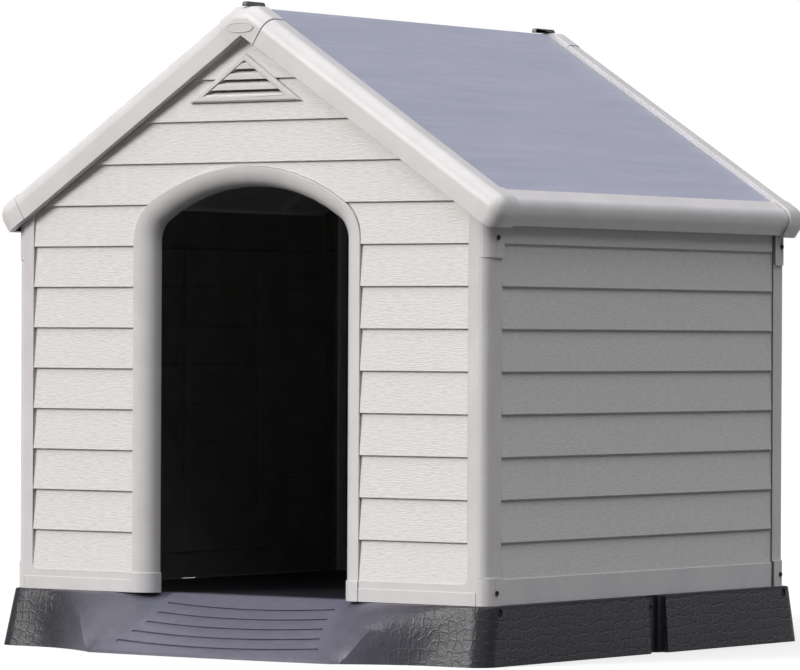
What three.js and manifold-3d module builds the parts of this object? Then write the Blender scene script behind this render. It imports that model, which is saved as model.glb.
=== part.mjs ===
// A moulded plastic dog house that packs flat: four lap-siding walls screwed together at the
// corner posts, two roof panels with gable trim, a door surround, vents and a base with a ramp.
// Millimetres, +Z up. The house is drawn about the centre of its walls: x runs across the front,
// y from the front to the back, and z up from the ground.
import * as THREE from 'three';
import { mergeVertices } from 'three/addons/utils/BufferGeometryUtils.js';
import Module from 'manifold-3d';

const wasm = await Module();
wasm.setup();

// ---------------------------------------------------------------- driving dimensions

// Walls
const WALL_WIDTH = 892; // over the side faces of the corner posts
const WALL_DEPTH = 848; // over the front and back faces of the corner posts
const EAVE_HEIGHT = 649.4; // where the lower edge of the gable trim meets the side of the house
const ROOF_SLOPE = THREE.MathUtils.degToRad(33);
const SKIN = 3.5; // moulded wall thickness
const SEAT_GAP = 0.3; // between pieces that rest against each other
const POST_FRONT_WIDTH = 32.7; // flat strip of a corner post that shows on the front and back
const POST_SIDE_WIDTH = 39.4; // the same on the sides
const POST_RADIUS = 18;
const COLLAR_PROUD = 4; // how far a post's collars stand out sideways
const FOOT_COLLAR_TOP = 130;
const TOP_COLLAR_HEIGHT = 48.7; // below the eave

// Lap siding
const BOARD_PITCH = 63;
const BOARD_START = 118; // lower edge of the lowest board
const BOARD_LIP = 1; // depth of a board's lower edge behind the frame
const BOARD_LEAN = 4.5; // how far a board leans back over its height
const FIELD_BOTTOM = 120; // where the boards start on the front and back walls
const FIELD_RADIUS = 12;
const SIDE_FIELD_BOTTOM = 127;
const SIDE_STRIP_HEIGHT = 27.4; // of the plain strip between a side's boards and the eave
const FOOT_STRIP_TOP = 108;
const FOOT_STRIP_PROUD = 1;
const RETURN_DEPTH = 9.5; // depth of the frame's edge round the boards
const RIB_DEPTH = 13;
const RIB_WIDTH = 16;
const RIB_FOOT = 132; // lower end of the ribs inside the walls
const SIDE_RIB_PITCH = 200;
const BACK_RIB_OFFSET = 150; // of the two ribs inside the back wall from its middle

// Gable trim, with heights square to the slope above the trim's lower edge
const TRIM_PROUD = 12; // over the front face of the posts
const TRIM_WALL = 4;
const TRIM_ROLL = 22; // radius between the trim's face and its top
const TRIM_DEPTH = 44; // from the trim's face to its back edge
const WALL_TOP_HEIGHT = 42.2; // of a gable wall's edge inside the trim
const CAP_PROUD = 1.2; // how much larger the apex caps and elbows are than the rakes
const CAP_HALF_LENGTH = 27; // along the slope
const RIDGE_RISE = 334.6; // flat top of the apex caps above the eave
const TRIM_HOOK = 8.5; // depth of the trim's back edge
const ELBOW_DROP = 4.4; // underside of the elbows below the eave
const ELBOW_FLOOR = 2.7;
const ELBOW_LENGTH = 20.6; // along the slope, up to the centre of the eave tube
const SLEEVE_LENGTH = 5.7; // how far an elbow slips over the end of the eave tube
const SLEEVE_GAP = 0.5;

// Roof panels
const TUBE_RADIUS = 20.4; // round eave edge of a roof frame
const TUBE_OVERHANG = 5.8; // centre of the eave tube outside the posts
const TUBE_CHAMFER = THREE.MathUtils.degToRad(54);
const TUBE_DROP = 1.4; // underside of the eave tube below the eave
const PANEL_SKIN = 3.3;
const PANEL_FLOOR_HEIGHT = 32.9; // underside of a roof frame's tray
const RIM_HEIGHT = 41.3;
const RIM_WIDTH = 2.5;
const SHEET_HEIGHT = 40.5; // top of a roof sheet
const SHEET_EDGE_INSET = 4.3; // where the sheet ends above the eave tube, from the side face
const RIDGE_BEAD = 8; // half the width of the light strip along the ridge
const RIDGE_BEAD_DROP = 1.7; // how much lower that strip is than the apex caps
const LEDGE_REACH = 46; // of the ledge inside a gable wall that carries the roof frames
const PANEL_RIB_DEPTH = 13;
const PANEL_RIB_WIDTH = 3;
const PANEL_RIB_PITCH = 240;
const PANEL_RIB_START = 30; // from the ridge
const PANEL_RIB_LEAN = 10; // of the rib's end near the ridge

// Ridge clips
const CLIP_WIDTH = 14;
const CLIP_HEIGHT = 7;
const CLIP_LENGTH = 49;
const CLIP_BACK_LENGTH = 57;
const CLIP_FRONT_PROUD = 4; // front end of the front clip before the posts
const CLIP_BACK_INSET = 7; // back end of the back clip from the back posts
const CLIP_WALL = 2.5;
const CLIP_LOOP = 30; // length of the hollow loop in the back clip

// Door
const DOOR_WIDTH = 430; // outside edge of the surround
const DOOR_TOP = 741.6;
const ARCH_RADIUS = 337;
const ARCH_CORNER_RADIUS = 70;
const JAMB_ROLL = 34; // width of the rolled edge at the jambs
const ARCH_ROLL = 30; // and at the top of the arch
const ROLL_DEPTH = 26;
const ROLL_LIP = 3;
const SURROUND_FLANGE = 8; // behind the wall
const SURROUND_GAP = 0.5; // seam round the surround
const DOOR_FOOT_TOP = 119;
const DOOR_FOOT_PROUD = 2;

// Gable vents
const VENT_HALF_WIDTH = 106.5;
const VENT_HEIGHT = 74;
const VENT_RISE = 189.6; // foot of the vent above the eave
const VENT_PROUD = 3.5; // over the frame face
const VENT_BEVEL = 2.5;
const VENT_FRAME = 9.2; // width of the vent's frame
const VENT_DEPTH = 16;
const VENT_PLUG = 3; // wall of the part that fits the hole
const BLADE_COUNT = 4;
const BLADE_PITCH = 15.8;
const BLADE_LIP = 8.5;
const BLADE_RISE = 8;
const BLADE_SKIN = 2.6;

// Base and ramp
const BASE_HEIGHT = 88;
const BASE_LEDGE_SIDE = 10; // top of the base outside the walls
const BASE_LEDGE_END = 8;
const BASE_FLARE_SIDE = 6; // how much wider the base is on the ground than at its top
const BASE_FLARE_END = 21;
const BASE_RADIUS = 36;
const BASE_SKIN = 5;
const DECK_RECESS = 4; // depth of the floor inside the walls
const DECK_THICKNESS = 4;
const DECK_MARGIN = 38; // from the outside of the side walls to the recessed floor
const DECK_MARGIN_END = 46; // and from the outside of the front and back walls
const JOINT_Y = 40; // where the two halves of the base meet
const JOINT_RECESS_AHEAD = 24; // how far the recess round the joint reaches forward
const JOINT_RECESS_BEHIND = 25; // and back
const JOINT_RECESS_DEPTH = 12;
const JOINT_LAP = 20;
const RAMP_TOP_WIDTH = 356;
const RAMP_FOOT_WIDTH = 414;
const RAMP_REACH = 88; // from the front posts to the ramp's foot
const RAMP_BOW = 9; // how far the foot bows out in its middle
const RAMP_LIP = 12; // height of the ramp's front edge
const LOBE_X = 245; // the base bulges furthest beside the ramp
const LOBE_BULGE = 50;
const LOBE_SPREAD = 185;
const GROOVE_COUNT = 5;
const GROOVE_START = 12; // from the top of the base down to the first groove's ends
const GROOVE_PITCH = 14.5;
const GROOVE_WIDTH = 2.6;
const GROOVE_DEPTH = 2.2;
const GROOVE_DROOP = 5;
const GROOVE_MARGIN = 14; // from a groove's end to the ramp's edge
const RUNNER_WIDTH = 24;
const RUNNER_RIB = 3.5;
const RUNNER_OFFSET = 225;
const LUG_LENGTH = 60;
const LUG_HEIGHT = 12;
const LUG_WIDTH = 5;
const LUG_GAP = 0.5;
const SIDE_LUG_Y = 180;
const END_LUG_X = 320;

// Screws
const SCREW_HEAD_RADIUS = 4;
const SCREW_HEAD_HEIGHT = 2.5;
const SCREW_SHANK_RADIUS = 2;
const SCREW_HOLE_GAP = 0.3;
const SCREW_INSET = 22; // corner screws, from the front or back face of the posts
const LOW_SCREW_Z = 107.5;
const HIGH_SCREW_DROP = 19.4; // below the eave
const BASE_SCREW_DROP = 9; // below the top of the base
const JOINT_SCREW_OFFSET = 15; // in front of the base's joint
const JOINT_SCREW_DROP = 18;
const SCREW_POCKET_GAP = 2; // round a head that is let into the base
const SCREW_POCKET_REACH = 20; // past the seat of that head

// ---------------------------------------------------------------- worked-out sizes

const SIDE_X = WALL_WIDTH / 2;
const END_Y = WALL_DEPTH / 2;
const SIN = Math.sin(ROOF_SLOPE);
const COS = Math.cos(ROOF_SLOPE);
const TAN = Math.tan(ROOF_SLOPE);
const APEX_Z = EAVE_HEIGHT + TAN * SIDE_X; // lower edge of the gable trim at the middle
const RIDGE_TOP = EAVE_HEIGHT + RIDGE_RISE;
const RIDGE_BEAD_TOP = RIDGE_TOP - RIDGE_BEAD_DROP;
const EAVE_BOTTOM = EAVE_HEIGHT - ELBOW_DROP;
const TUBE_BOTTOM = EAVE_HEIGHT - TUBE_DROP;
const SHEET_EDGE = SIDE_X - SHEET_EDGE_INSET;
const SIDE_FIELD_TOP = EAVE_HEIGHT - SIDE_STRIP_HEIGHT;
const VENT_BOTTOM = EAVE_HEIGHT + VENT_RISE;
const VENT_TOP = VENT_BOTTOM + VENT_HEIGHT;
const WALL_BOTTOM = BASE_HEIGHT + SEAT_GAP;
const DECK_TOP = BASE_HEIGHT - DECK_RECESS;
const DECK_UNDERSIDE = DECK_TOP - DECK_THICKNESS;
const JOINT_RECESS_FRONT = JOINT_Y - JOINT_RECESS_AHEAD;
const JOINT_RECESS_BACK = JOINT_Y + JOINT_RECESS_BEHIND;
const HIGH_SCREW_Z = EAVE_HEIGHT - HIGH_SCREW_DROP;
const BASE_SCREW_Z = BASE_HEIGHT - BASE_SCREW_DROP;
const JOINT_SCREW_Z = BASE_HEIGHT - JOINT_SCREW_DROP;
const JOINT_SCREW_Y = JOINT_Y - JOINT_SCREW_OFFSET;
const TUBE_X = SIDE_X + TUBE_OVERHANG;
const TUBE_TOP_HEIGHT = WALL_TOP_HEIGHT + SEAT_GAP; // top of the eave tube above the slope line
const TUBE_HEIGHT = TUBE_TOP_HEIGHT - TUBE_RADIUS;
const TUBE_S = (TUBE_X - TUBE_HEIGHT * SIN) / COS;
const CAP_TOP_HEIGHT = TUBE_TOP_HEIGHT + TRIM_WALL + CAP_PROUD;
const COLLAR_X = SIDE_X + COLLAR_PROUD;
const PANEL_END = END_Y + TRIM_PROUD - TRIM_DEPTH - SEAT_GAP; // half the length of a roof frame
const LEDGE_TOP_HEIGHT = PANEL_FLOOR_HEIGHT - SEAT_GAP;
const FAR = 2000; // reaches past everything
const BAND_ABOVE = 120; // cuts square to the slope reach this far over the trim's lower edge
const BAND_BELOW = 60; // and this far under it
const GRID = 2 ** -13; // faces drawn at one place land on exactly one plane

// ---------------------------------------------------------------- making solids

function solid(geometry) {
  const bare = geometry.index ? geometry.toNonIndexed() : geometry.clone();
  bare.deleteAttribute('normal');
  bare.deleteAttribute('uv');
  const places = bare.attributes.position.array;
  places.forEach((value, i) => { places[i] = Math.round(value / GRID) * GRID; });
  const merged = mergeVertices(bare, 1e-4);
  const corners = merged.index.array;
  const triangles = [];
  for (let i = 0; i < corners.length; i += 3) {
    const [a, b, c] = [corners[i], corners[i + 1], corners[i + 2]];
    if (a !== b && b !== c && c !== a) triangles.push(a, b, c);
  }
  return new wasm.Manifold(
    new wasm.Mesh({
      numProp: 3,
      vertProperties: new Float32Array(merged.attributes.position.array),
      triVerts: new Uint32Array(triangles),
    }),
  );
}

function asShape(outline) {
  if (outline instanceof THREE.Shape) return outline;
  return new THREE.Shape(outline.map(([a, b]) => new THREE.Vector2(a, b)));
}

const X = new THREE.Vector3(1, 0, 0);
const Y = new THREE.Vector3(0, 1, 0);
const Z = new THREE.Vector3(0, 0, 1);

function prism(outline, length, axes, offset) {
  const geometry = new THREE.ExtrudeGeometry(asShape(outline), {
    depth: length,
    bevelEnabled: false,
    curveSegments: 6,
  });
  geometry.applyMatrix4(new THREE.Matrix4().makeBasis(...axes));
  geometry.translate(offset.x, offset.y, offset.z);
  return solid(geometry);
}

// An outline in (y, z), swept from x = low to x = high.
function alongX(outline, low, high) {
  return prism(outline, high - low, [Y, Z, X], new THREE.Vector3(low, 0, 0));
}

// An outline in (x, z), swept from y = low to y = high.
function alongY(outline, low, high) {
  return prism(outline, high - low, [X, Z, Y.clone().negate()], new THREE.Vector3(0, high, 0));
}

// An outline in (x, y), swept from z = low to z = high.
function alongZ(outline, low, high) {
  return prism(outline, high - low, [X, Y, Z], new THREE.Vector3(0, 0, low));
}

function block(x0, x1, y0, y1, z0, z1) {
  const geometry = new THREE.BoxGeometry(x1 - x0, y1 - y0, z1 - z0);
  geometry.translate((x0 + x1) / 2, (y0 + y1) / 2, (z0 + z1) / 2);
  return solid(geometry);
}

// A closed solid through rings of points with equal counts; flatten shows how to look at the
// two end rings, which are filled.
function loft(rings, flatten) {
  const count = rings[0].length;
  const points = rings.flat();
  const faces = [];
  for (let r = 0; r + 1 < rings.length; r += 1) {
    for (let i = 0; i < count; i += 1) {
      const j = (i + 1) % count;
      const a = r * count;
      const b = a + count;
      faces.push([a + i, a + j, b + j], [a + i, b + j, b + i]);
    }
  }
  const last = (rings.length - 1) * count;
  for (const [start, forward] of [[0, false], [last, true]]) {
    const flat = points.slice(start, start + count).map(flatten);
    const turn = Math.sign(THREE.ShapeUtils.area(flat));
    for (const [a, b, c] of THREE.ShapeUtils.triangulateShape(flat, [])) {
      const side = Math.sign(THREE.ShapeUtils.area([flat[a], flat[b], flat[c]]));
      const same = side === turn;
      const face = same === forward ? [a, b, c] : [c, b, a];
      faces.push(face.map((i) => i + start));
    }
  }
  let volume = 0;
  for (const [a, b, c] of faces) {
    volume += points[a].dot(points[b].clone().cross(points[c]));
  }
  const geometry = new THREE.BufferGeometry().setFromPoints(points);
  geometry.setIndex(faces.flatMap(([a, b, c]) => (volume > 0 ? [a, b, c] : [c, b, a])));
  return solid(geometry);
}

function joined(solids) {
  return solids.reduce((whole, next) => whole.add(next));
}

function cut(whole, tools) {
  return tools.reduce((rest, tool) => rest.subtract(tool), whole);
}

// ---------------------------------------------------------------- the roof line

// s runs down the right-hand slope from the middle, height is square to the slope.
function onSlope(s, height) {
  return [s * COS + height * SIN, APEX_Z - s * SIN + height * COS];
}

function slopeZ(x, height) {
  return APEX_Z + height / COS - TAN * Math.abs(x);
}

function ridgeFlat(height) {
  return RIDGE_TOP - (CAP_TOP_HEIGHT - height);
}

// A right-hand half outline and its mirror image as one closed outline.
function mirrored(half) {
  return [...half, ...half.map(([x, z]) => [-x, z]).reverse()];
}

// Everything below a line at the given height over the slope, out to a half width.
function underSlope(height, halfWidth, bottom = -FAR) {
  const flat = ridgeFlat(height);
  const shoulder = (slopeZ(0, height) - flat) / TAN;
  return mirrored([[halfWidth, bottom], [halfWidth, slopeZ(halfWidth, height)], [shoulder, flat]]);
}

// The tangent that closes the eave tube underneath, at the level z.
function chamferX(radius, z) {
  const touchX = TUBE_X + radius * Math.sin(TUBE_CHAMFER);
  const touchZ = slopeZ(0, 0) - TUBE_S * SIN + TUBE_HEIGHT * COS - radius * Math.cos(TUBE_CHAMFER);
  return touchX - (touchZ - z) / Math.tan(TUBE_CHAMFER);
}

// Arc of the eave tube from the slope round to the chamfer.
function tubeArc(radius, steps = 8) {
  const [cx, cz] = onSlope(TUBE_S, TUBE_HEIGHT);
  const from = Math.PI / 2 - ROOF_SLOPE;
  const to = TUBE_CHAMFER - Math.PI / 2;
  return Array.from({ length: steps + 1 }, (unused, i) => {
    const angle = from + ((to - from) * i) / steps;
    return [cx + radius * Math.cos(angle), cz + radius * Math.sin(angle)];
  });
}

// Outline of the roof edge, grown from the top of the roof frames' eave tube.
function roofEdge(grow) {
  const height = TUBE_TOP_HEIGHT + grow;
  const flat = ridgeFlat(height);
  const shoulder = (slopeZ(0, height) - flat) / TAN;
  const radius = TUBE_RADIUS + grow;
  const deep = EAVE_BOTTOM - 20;
  return mirrored([[shoulder, flat], ...tubeArc(radius), [chamferX(radius, deep), deep]]);
}

// Roof-edge solid with a round front edge, from a face at y = -face back to y = -back.
function rolledEdge(grow, face, roll, back) {
  const rings = [];
  const steps = 6;
  for (let i = 0; i <= steps; i += 1) {
    const angle = (i / steps) * (Math.PI / 2);
    const inset = roll * (1 - Math.sin(angle));
    const y = -face + roll * (1 - Math.cos(angle));
    rings.push(roofEdge(grow - inset).map(([x, z]) => new THREE.Vector3(x, y, z)));
  }
  rings.push(roofEdge(grow).map(([x, z]) => new THREE.Vector3(x, -back, z)));
  return loft(rings, (p) => new THREE.Vector2(p.x, p.z));
}

// The space inside the trim: below a height on the slopes and below a level past them.
function belowTrim(height, level) {
  const x = (slopeZ(0, height) - level) / TAN;
  return [[FAR, 0], [FAR, level], [x, level], [0, slopeZ(0, height)], [-x, level], [-FAR, level],
    [-FAR, 0]];
}

// The whole front trim as one shell, to be cut into its pieces.
function trimShell(proud, gap, back) {
  const grow = TRIM_WALL + proud;
  const face = END_Y + TRIM_PROUD + proud;
  const wall = grow - gap;
  const outside = rolledEdge(grow, face, TRIM_ROLL, back);
  const hollow = rolledEdge(gap, face - wall, TRIM_ROLL - wall, back - 1);
  const floor = EAVE_BOTTOM + ELBOW_FLOOR;
  const wallFace = -END_Y - SEAT_GAP;
  const wallSpace = underSlope(TUBE_TOP_HEIGHT + gap, COLLAR_X + SEAT_GAP);
  return cut(outside, [
    alongY(belowTrim(0, EAVE_BOTTOM), -FAR, FAR),
    hollow.subtract(alongY(belowTrim(TRIM_WALL, floor), -FAR, FAR)),
    hollow.intersect(block(-FAR, FAR, wallFace, 0, floor, FAR)),
    alongY(wallSpace, wallFace, 0),
  ]);
}

// The part of the house between two lines square to the right-hand slope.
function slopeBand(from, to, side) {
  const [low, high] = [-BAND_BELOW, BAND_ABOVE];
  const corners = [onSlope(from, low), onSlope(to, low), onSlope(to, high), onSlope(from, high)];
  return alongY(corners.map(([x, z]) => [side * x, z]), -FAR, 0);
}

function capWedge() {
  const [x, z] = onSlope(CAP_HALF_LENGTH, BAND_ABOVE);
  const meet = APEX_Z - CAP_HALF_LENGTH / SIN;
  return alongY([[0, meet], [x, z], [-x, z]], -FAR, 0);
}

const TRIM_BACK = END_Y + TRIM_PROUD - TRIM_DEPTH;
const ELBOW_SEAM = TUBE_S - ELBOW_LENGTH;

// The edge that hangs down behind the top of the trim.
function trimHook(grow) {
  const top = TUBE_TOP_HEIGHT + grow - 1;
  const low = top + 1 - TRIM_HOOK;
  return cut(alongY(underSlope(top, SIDE_X), -TRIM_BACK - TRIM_WALL, -TRIM_BACK), [
    alongY(underSlope(low, FAR), -FAR, 0),
  ]);
}

function rake(side) {
  const shell = trimShell(0, 0, TRIM_BACK).add(trimHook(TRIM_WALL));
  const from = CAP_HALF_LENGTH + SEAT_GAP;
  return shell.intersect(slopeBand(from, ELBOW_SEAM - SEAT_GAP, side));
}

function apexCap() {
  const shell = trimShell(CAP_PROUD, SLEEVE_GAP, TRIM_BACK);
  return shell.add(trimHook(TRIM_WALL + CAP_PROUD)).intersect(capWedge());
}

function elbow(side) {
  const shell = trimShell(CAP_PROUD, SLEEVE_GAP, PANEL_END - SLEEVE_LENGTH);
  return shell.intersect(slopeBand(ELBOW_SEAM, TUBE_S + BAND_ABOVE, side));
}

// ---------------------------------------------------------------- roof panels

function roofFrame() {
  const edge = (SHEET_EDGE - RIM_HEIGHT * SIN) / COS;
  const outer = TUBE_RADIUS;
  const inner = TUBE_RADIUS - PANEL_SKIN;
  const lip = COLLAR_X + SEAT_GAP;
  const ridge = SEAT_GAP / 2;
  const lipTop = TUBE_BOTTOM + PANEL_SKIN;
  const profile = [
    [ridge, RIDGE_BEAD_TOP],
    [RIDGE_BEAD, RIDGE_BEAD_TOP],
    [RIDGE_BEAD, slopeZ(RIDGE_BEAD, RIM_HEIGHT)],
    onSlope(edge, RIM_HEIGHT),
    onSlope(edge, TUBE_TOP_HEIGHT),
    ...tubeArc(outer),
    [chamferX(outer, TUBE_BOTTOM), TUBE_BOTTOM],
    [lip, TUBE_BOTTOM],
    [lip, lipTop],
    [chamferX(inner, lipTop), lipTop],
    ...tubeArc(inner).reverse(),
    onSlope(edge + PANEL_SKIN, TUBE_TOP_HEIGHT - PANEL_SKIN),
    onSlope(edge + PANEL_SKIN, PANEL_FLOOR_HEIGHT),
    [ridge, slopeZ(ridge, PANEL_FLOOR_HEIGHT)],
  ];
  const tray = PANEL_END - RIM_WIDTH;
  const [start, floor] = [sheetStart(), PANEL_FLOOR_HEIGHT + PANEL_SKIN];
  const pocket = [[start, floor], [edge, floor], [edge, FAR / 10], [start, FAR / 10]];
  let frame = alongY(profile, -PANEL_END, PANEL_END);
  frame = frame.subtract(alongY(pocket.map(([s, h]) => onSlope(s, h)), -tray, tray));
  const low = PANEL_FLOOR_HEIGHT - PANEL_RIB_DEPTH;
  const high = PANEL_FLOOR_HEIGHT + 1;
  const ribEnd = (SIDE_X - 2 * RIB_DEPTH) / COS - low * TAN;
  const ribStart = PANEL_RIB_START;
  const corners = [[ribStart, high], [ribEnd, high], [ribEnd, low], [ribStart + PANEL_RIB_LEAN, low]];
  const rib = corners.map(([s, h]) => onSlope(s, h));
  for (const y of [-1, 0, 1].map((i) => i * PANEL_RIB_PITCH)) {
    frame = frame.add(alongY(rib, y - PANEL_RIB_WIDTH / 2, y + PANEL_RIB_WIDTH / 2));
  }
  return frame;
}

function sheetStart() {
  return (RIDGE_BEAD - RIM_HEIGHT * SIN) / COS;
}

function roofSheet() {
  const bottom = PANEL_FLOOR_HEIGHT + PANEL_SKIN + SEAT_GAP;
  const start = sheetStart() + SEAT_GAP;
  const end = (SHEET_EDGE - RIM_HEIGHT * SIN) / COS - SEAT_GAP;
  const half = PANEL_END - RIM_WIDTH - SEAT_GAP;
  const corners = [[start, bottom], [end, bottom], [end, SHEET_HEIGHT], [start, SHEET_HEIGHT]];
  return alongY(corners.map(([s, h]) => onSlope(s, h)), -half, half);
}

// A low bar over the joint between the ridge and an apex cap, with an optional hollow loop.
function ridgeClip(front, length, loop) {
  const low = RIDGE_TOP + SEAT_GAP;
  const high = low + CLIP_HEIGHT;
  const half = CLIP_WIDTH / 2;
  const nose = CLIP_HEIGHT / 2;
  const side = [
    [front, low],
    [front + length, low],
    [front + length, high - nose],
    [front + length - nose, high],
    [front + nose, high],
    [front, high - nose],
  ];
  const bar = alongX(side, -half, half);
  if (!loop) return bar;
  const hollow = [front + CLIP_WALL, front + loop];
  return bar.subtract(block(-half - 1, half + 1, ...hollow, low + CLIP_WALL / 2, high - CLIP_WALL));
}

// ---------------------------------------------------------------- walls

function boardDepth(z, butt) {
  return BOARD_LIP + (BOARD_LEAN * (z - butt)) / BOARD_PITCH;
}

// The stepped face of the lap siding as [depth, z] points.
function sidingFace(low, high) {
  const face = [];
  for (let butt = BOARD_START; butt < high - SKIN; butt += BOARD_PITCH) {
    const from = Math.max(butt, low);
    const to = Math.min(butt + BOARD_PITCH, high);
    if (to - from > SKIN) face.push([boardDepth(from, butt), from], [boardDepth(to, butt), to]);
  }
  return face;
}

// A face made a skin of even thickness; steps in the face keep a web of the same thickness.
function skinned(face) {
  const last = face.length - 1;
  const back = face.map(([depth, z], i) => [depth + SKIN, z + (i > 0 && i < last ? SKIN : 0)]);
  return [...face, ...back.reverse()];
}

// The space between the middle of a face's skin and a flat plane behind it.
function backed(face, depth) {
  const last = face.length - 1;
  const half = SKIN / 2;
  const middle = face.map(([d, z], i) => [d + half, z + (i > 0 && i < last ? half : 0)]);
  return [...middle, [depth, face[last][1]], [depth, face[0][1]]];
}

// Outline of the board field of a gable wall, grown on all sides.
function boardField(grow) {
  const half = SIDE_X - POST_FRONT_WIDTH + grow;
  const low = FIELD_BOTTOM - grow;
  const radius = FIELD_RADIUS + grow;
  const shape = new THREE.Shape();
  shape.moveTo(half, slopeZ(half, grow));
  shape.lineTo(0, slopeZ(0, grow));
  shape.lineTo(-half, slopeZ(half, grow));
  shape.absarc(-half + radius, low + radius, radius, Math.PI, 1.5 * Math.PI, false);
  shape.absarc(half - radius, low + radius, radius, 1.5 * Math.PI, 2 * Math.PI, false);
  return shape;
}

// Section of the front right corner post: a strip round the corner at an offset from its face.
function postSection(outer, inner) {
  const cx = SIDE_X - POST_RADIUS;
  const edge = -END_Y + POST_SIDE_WIDTH;
  const shape = new THREE.Shape();
  shape.moveTo(outer.x, edge);
  shape.lineTo(inner.x, edge);
  shape.absarc(cx, inner.cy, inner.x - cx, 0, -Math.PI / 2, true);
  shape.lineTo(inner.end, inner.cy - (inner.x - cx));
  shape.lineTo(inner.end, outer.cy - (outer.x - cx));
  shape.absarc(cx, outer.cy, outer.x - cx, -Math.PI / 2, 0, false);
  return shape;
}

function cornerPost(side) {
  const cy = -END_Y + POST_RADIUS;
  const end = SIDE_X - POST_FRONT_WIDTH - 1;
  const strip = postSection({ x: SIDE_X, cy }, { x: SIDE_X - SKIN, cy, end });
  const collar = postSection(
    { x: COLLAR_X, cy: cy + COLLAR_PROUD },
    { x: SIDE_X - SKIN / 2, cy, end: SIDE_X - POST_RADIUS },
  );
  const onSide = (shape) => shape.getPoints(6).map((p) => [side * p.x, p.y]);
  return joined([
    alongZ(onSide(strip), WALL_BOTTOM, APEX_Z),
    alongZ(onSide(collar), WALL_BOTTOM, FOOT_COLLAR_TOP),
    alongZ(onSide(collar), EAVE_HEIGHT - TOP_COLLAR_HEIGHT, APEX_Z),
  ]);
}

function screwHole(y, z, radius = SCREW_SHANK_RADIUS + SCREW_HOLE_GAP) {
  const geometry = new THREE.CylinderGeometry(radius, radius, 2 * FAR, 10);
  geometry.rotateZ(Math.PI / 2);
  geometry.translate(0, y, z);
  return solid(geometry);
}

const SCREW_Y = END_Y - SCREW_INSET;

// Moved to the front wall's place: depth becomes y.
const atFront = (points) => points.map(([depth, z]) => [-END_Y + depth, z]);

function gableWall(ribs) {
  const half = SIDE_X - POST_FRONT_WIDTH;
  const face = sidingFace(FIELD_BOTTOM - 1, APEX_Z + 1);
  const overlap = alongY(boardField(1), -FAR, 0);
  const siding = alongX(atFront(skinned(face)), -half - 1, half + 1).intersect(overlap);
  const fieldCut = alongY(boardField(0), -FAR, 0);
  const plateHalf = SIDE_X - POST_RADIUS;
  const tall = WALL_TOP_HEIGHT + SKIN;
  const plate = alongY(underSlope(tall, plateHalf, WALL_BOTTOM), -END_Y, -END_Y + SKIN);
  const edge = alongY(boardField(SKIN), -END_Y, -END_Y + RETURN_DEPTH);
  const strip = block(
    -plateHalf, plateHalf,
    -END_Y - FOOT_STRIP_PROUD, -END_Y + 1,
    WALL_BOTTOM, FOOT_STRIP_TOP,
  );
  const ledge = cut(alongY(underSlope(LEDGE_TOP_HEIGHT, SIDE_X - RIB_DEPTH - SKIN), -END_Y + 1,
    -END_Y + LEDGE_REACH), [alongY(underSlope(LEDGE_TOP_HEIGHT - SKIN, FAR), -FAR, 0)]);
  const stiffeners = ribs.map((x) =>
    alongX(atFront(backed(face, RIB_DEPTH)), x - RIB_WIDTH / 2, x + RIB_WIDTH / 2).intersect(
      block(-FAR, FAR, -FAR, 0, RIB_FOOT, EAVE_HEIGHT),
    ),
  );
  const frame = cut(joined([plate, edge, strip]), [fieldCut]);
  const wall = joined([frame, siding, cornerPost(1), cornerPost(-1), ledge, ...stiffeners]);
  const hookFace = -TRIM_BACK - TRIM_WALL - SEAT_GAP;
  const overPanels = cut(block(-FAR, FAR, hookFace, 0, 0, FAR), [
    alongY(underSlope(LEDGE_TOP_HEIGHT, FAR), -FAR, 0),
  ]);
  return cut(wall.intersect(alongY(underSlope(WALL_TOP_HEIGHT, FAR), -FAR, 0)), [
    overPanels,
    screwHole(-SCREW_Y, LOW_SCREW_Z),
    screwHole(-SCREW_Y, HIGH_SCREW_Z),
    alongY(ventTriangle(VENT_PLUG - VENT_FRAME + SEAT_GAP), -FAR, -END_Y + RETURN_DEPTH),
  ]);
}

function sideWall() {
  const top = slopeZ(SIDE_X, LEDGE_TOP_HEIGHT) - SEAT_GAP;
  const boards = sidingFace(SIDE_FIELD_BOTTOM, SIDE_FIELD_TOP);
  const face = [
    [0, WALL_BOTTOM],
    [0, SIDE_FIELD_BOTTOM],
    ...boards,
    [BOARD_LIP, SIDE_FIELD_TOP],
    [BOARD_LIP, top],
  ];
  const atSide = (points) => points.map(([depth, z]) => [SIDE_X - depth, z]);
  const end = END_Y - POST_SIDE_WIDTH - SEAT_GAP;
  const tongueFace = SIDE_X - SKIN - SEAT_GAP;
  const tongueBack = tongueFace - SKIN;
  const tongueEnd = END_Y - POST_RADIUS;
  const parts = [alongY(atSide(skinned(face)), -end, end)];
  for (const side of [-1, 1]) {
    const [w0, w1] = [side * (end - SKIN), side * end].sort((a, b) => a - b);
    parts.push(alongY(atSide(backed(face, SIDE_X - tongueBack)), w0, w1));
    const [y0, y1] = [side * (end - SKIN), side * tongueEnd].sort((a, b) => a - b);
    const tongue = block(tongueBack, tongueFace, y0, y1, WALL_BOTTOM, top);
    parts.push(tongue.subtract(block(0, FAR, -end, end, 0, FAR)));
  }
  for (const y of [-1, 0, 1].map((i) => i * SIDE_RIB_PITCH)) {
    const rib = alongY(atSide(backed(face, RIB_DEPTH)), y - RIB_WIDTH / 2, y + RIB_WIDTH / 2);
    parts.push(rib.intersect(block(0, FAR, -FAR, FAR, RIB_FOOT, SIDE_FIELD_TOP)));
  }
  const holes = [-SCREW_Y, SCREW_Y].flatMap((y) => [
    screwHole(y, LOW_SCREW_Z),
    screwHole(y, HIGH_SCREW_Z),
  ]);
  return cut(joined(parts), holes);
}

// ---------------------------------------------------------------- door surround

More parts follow.
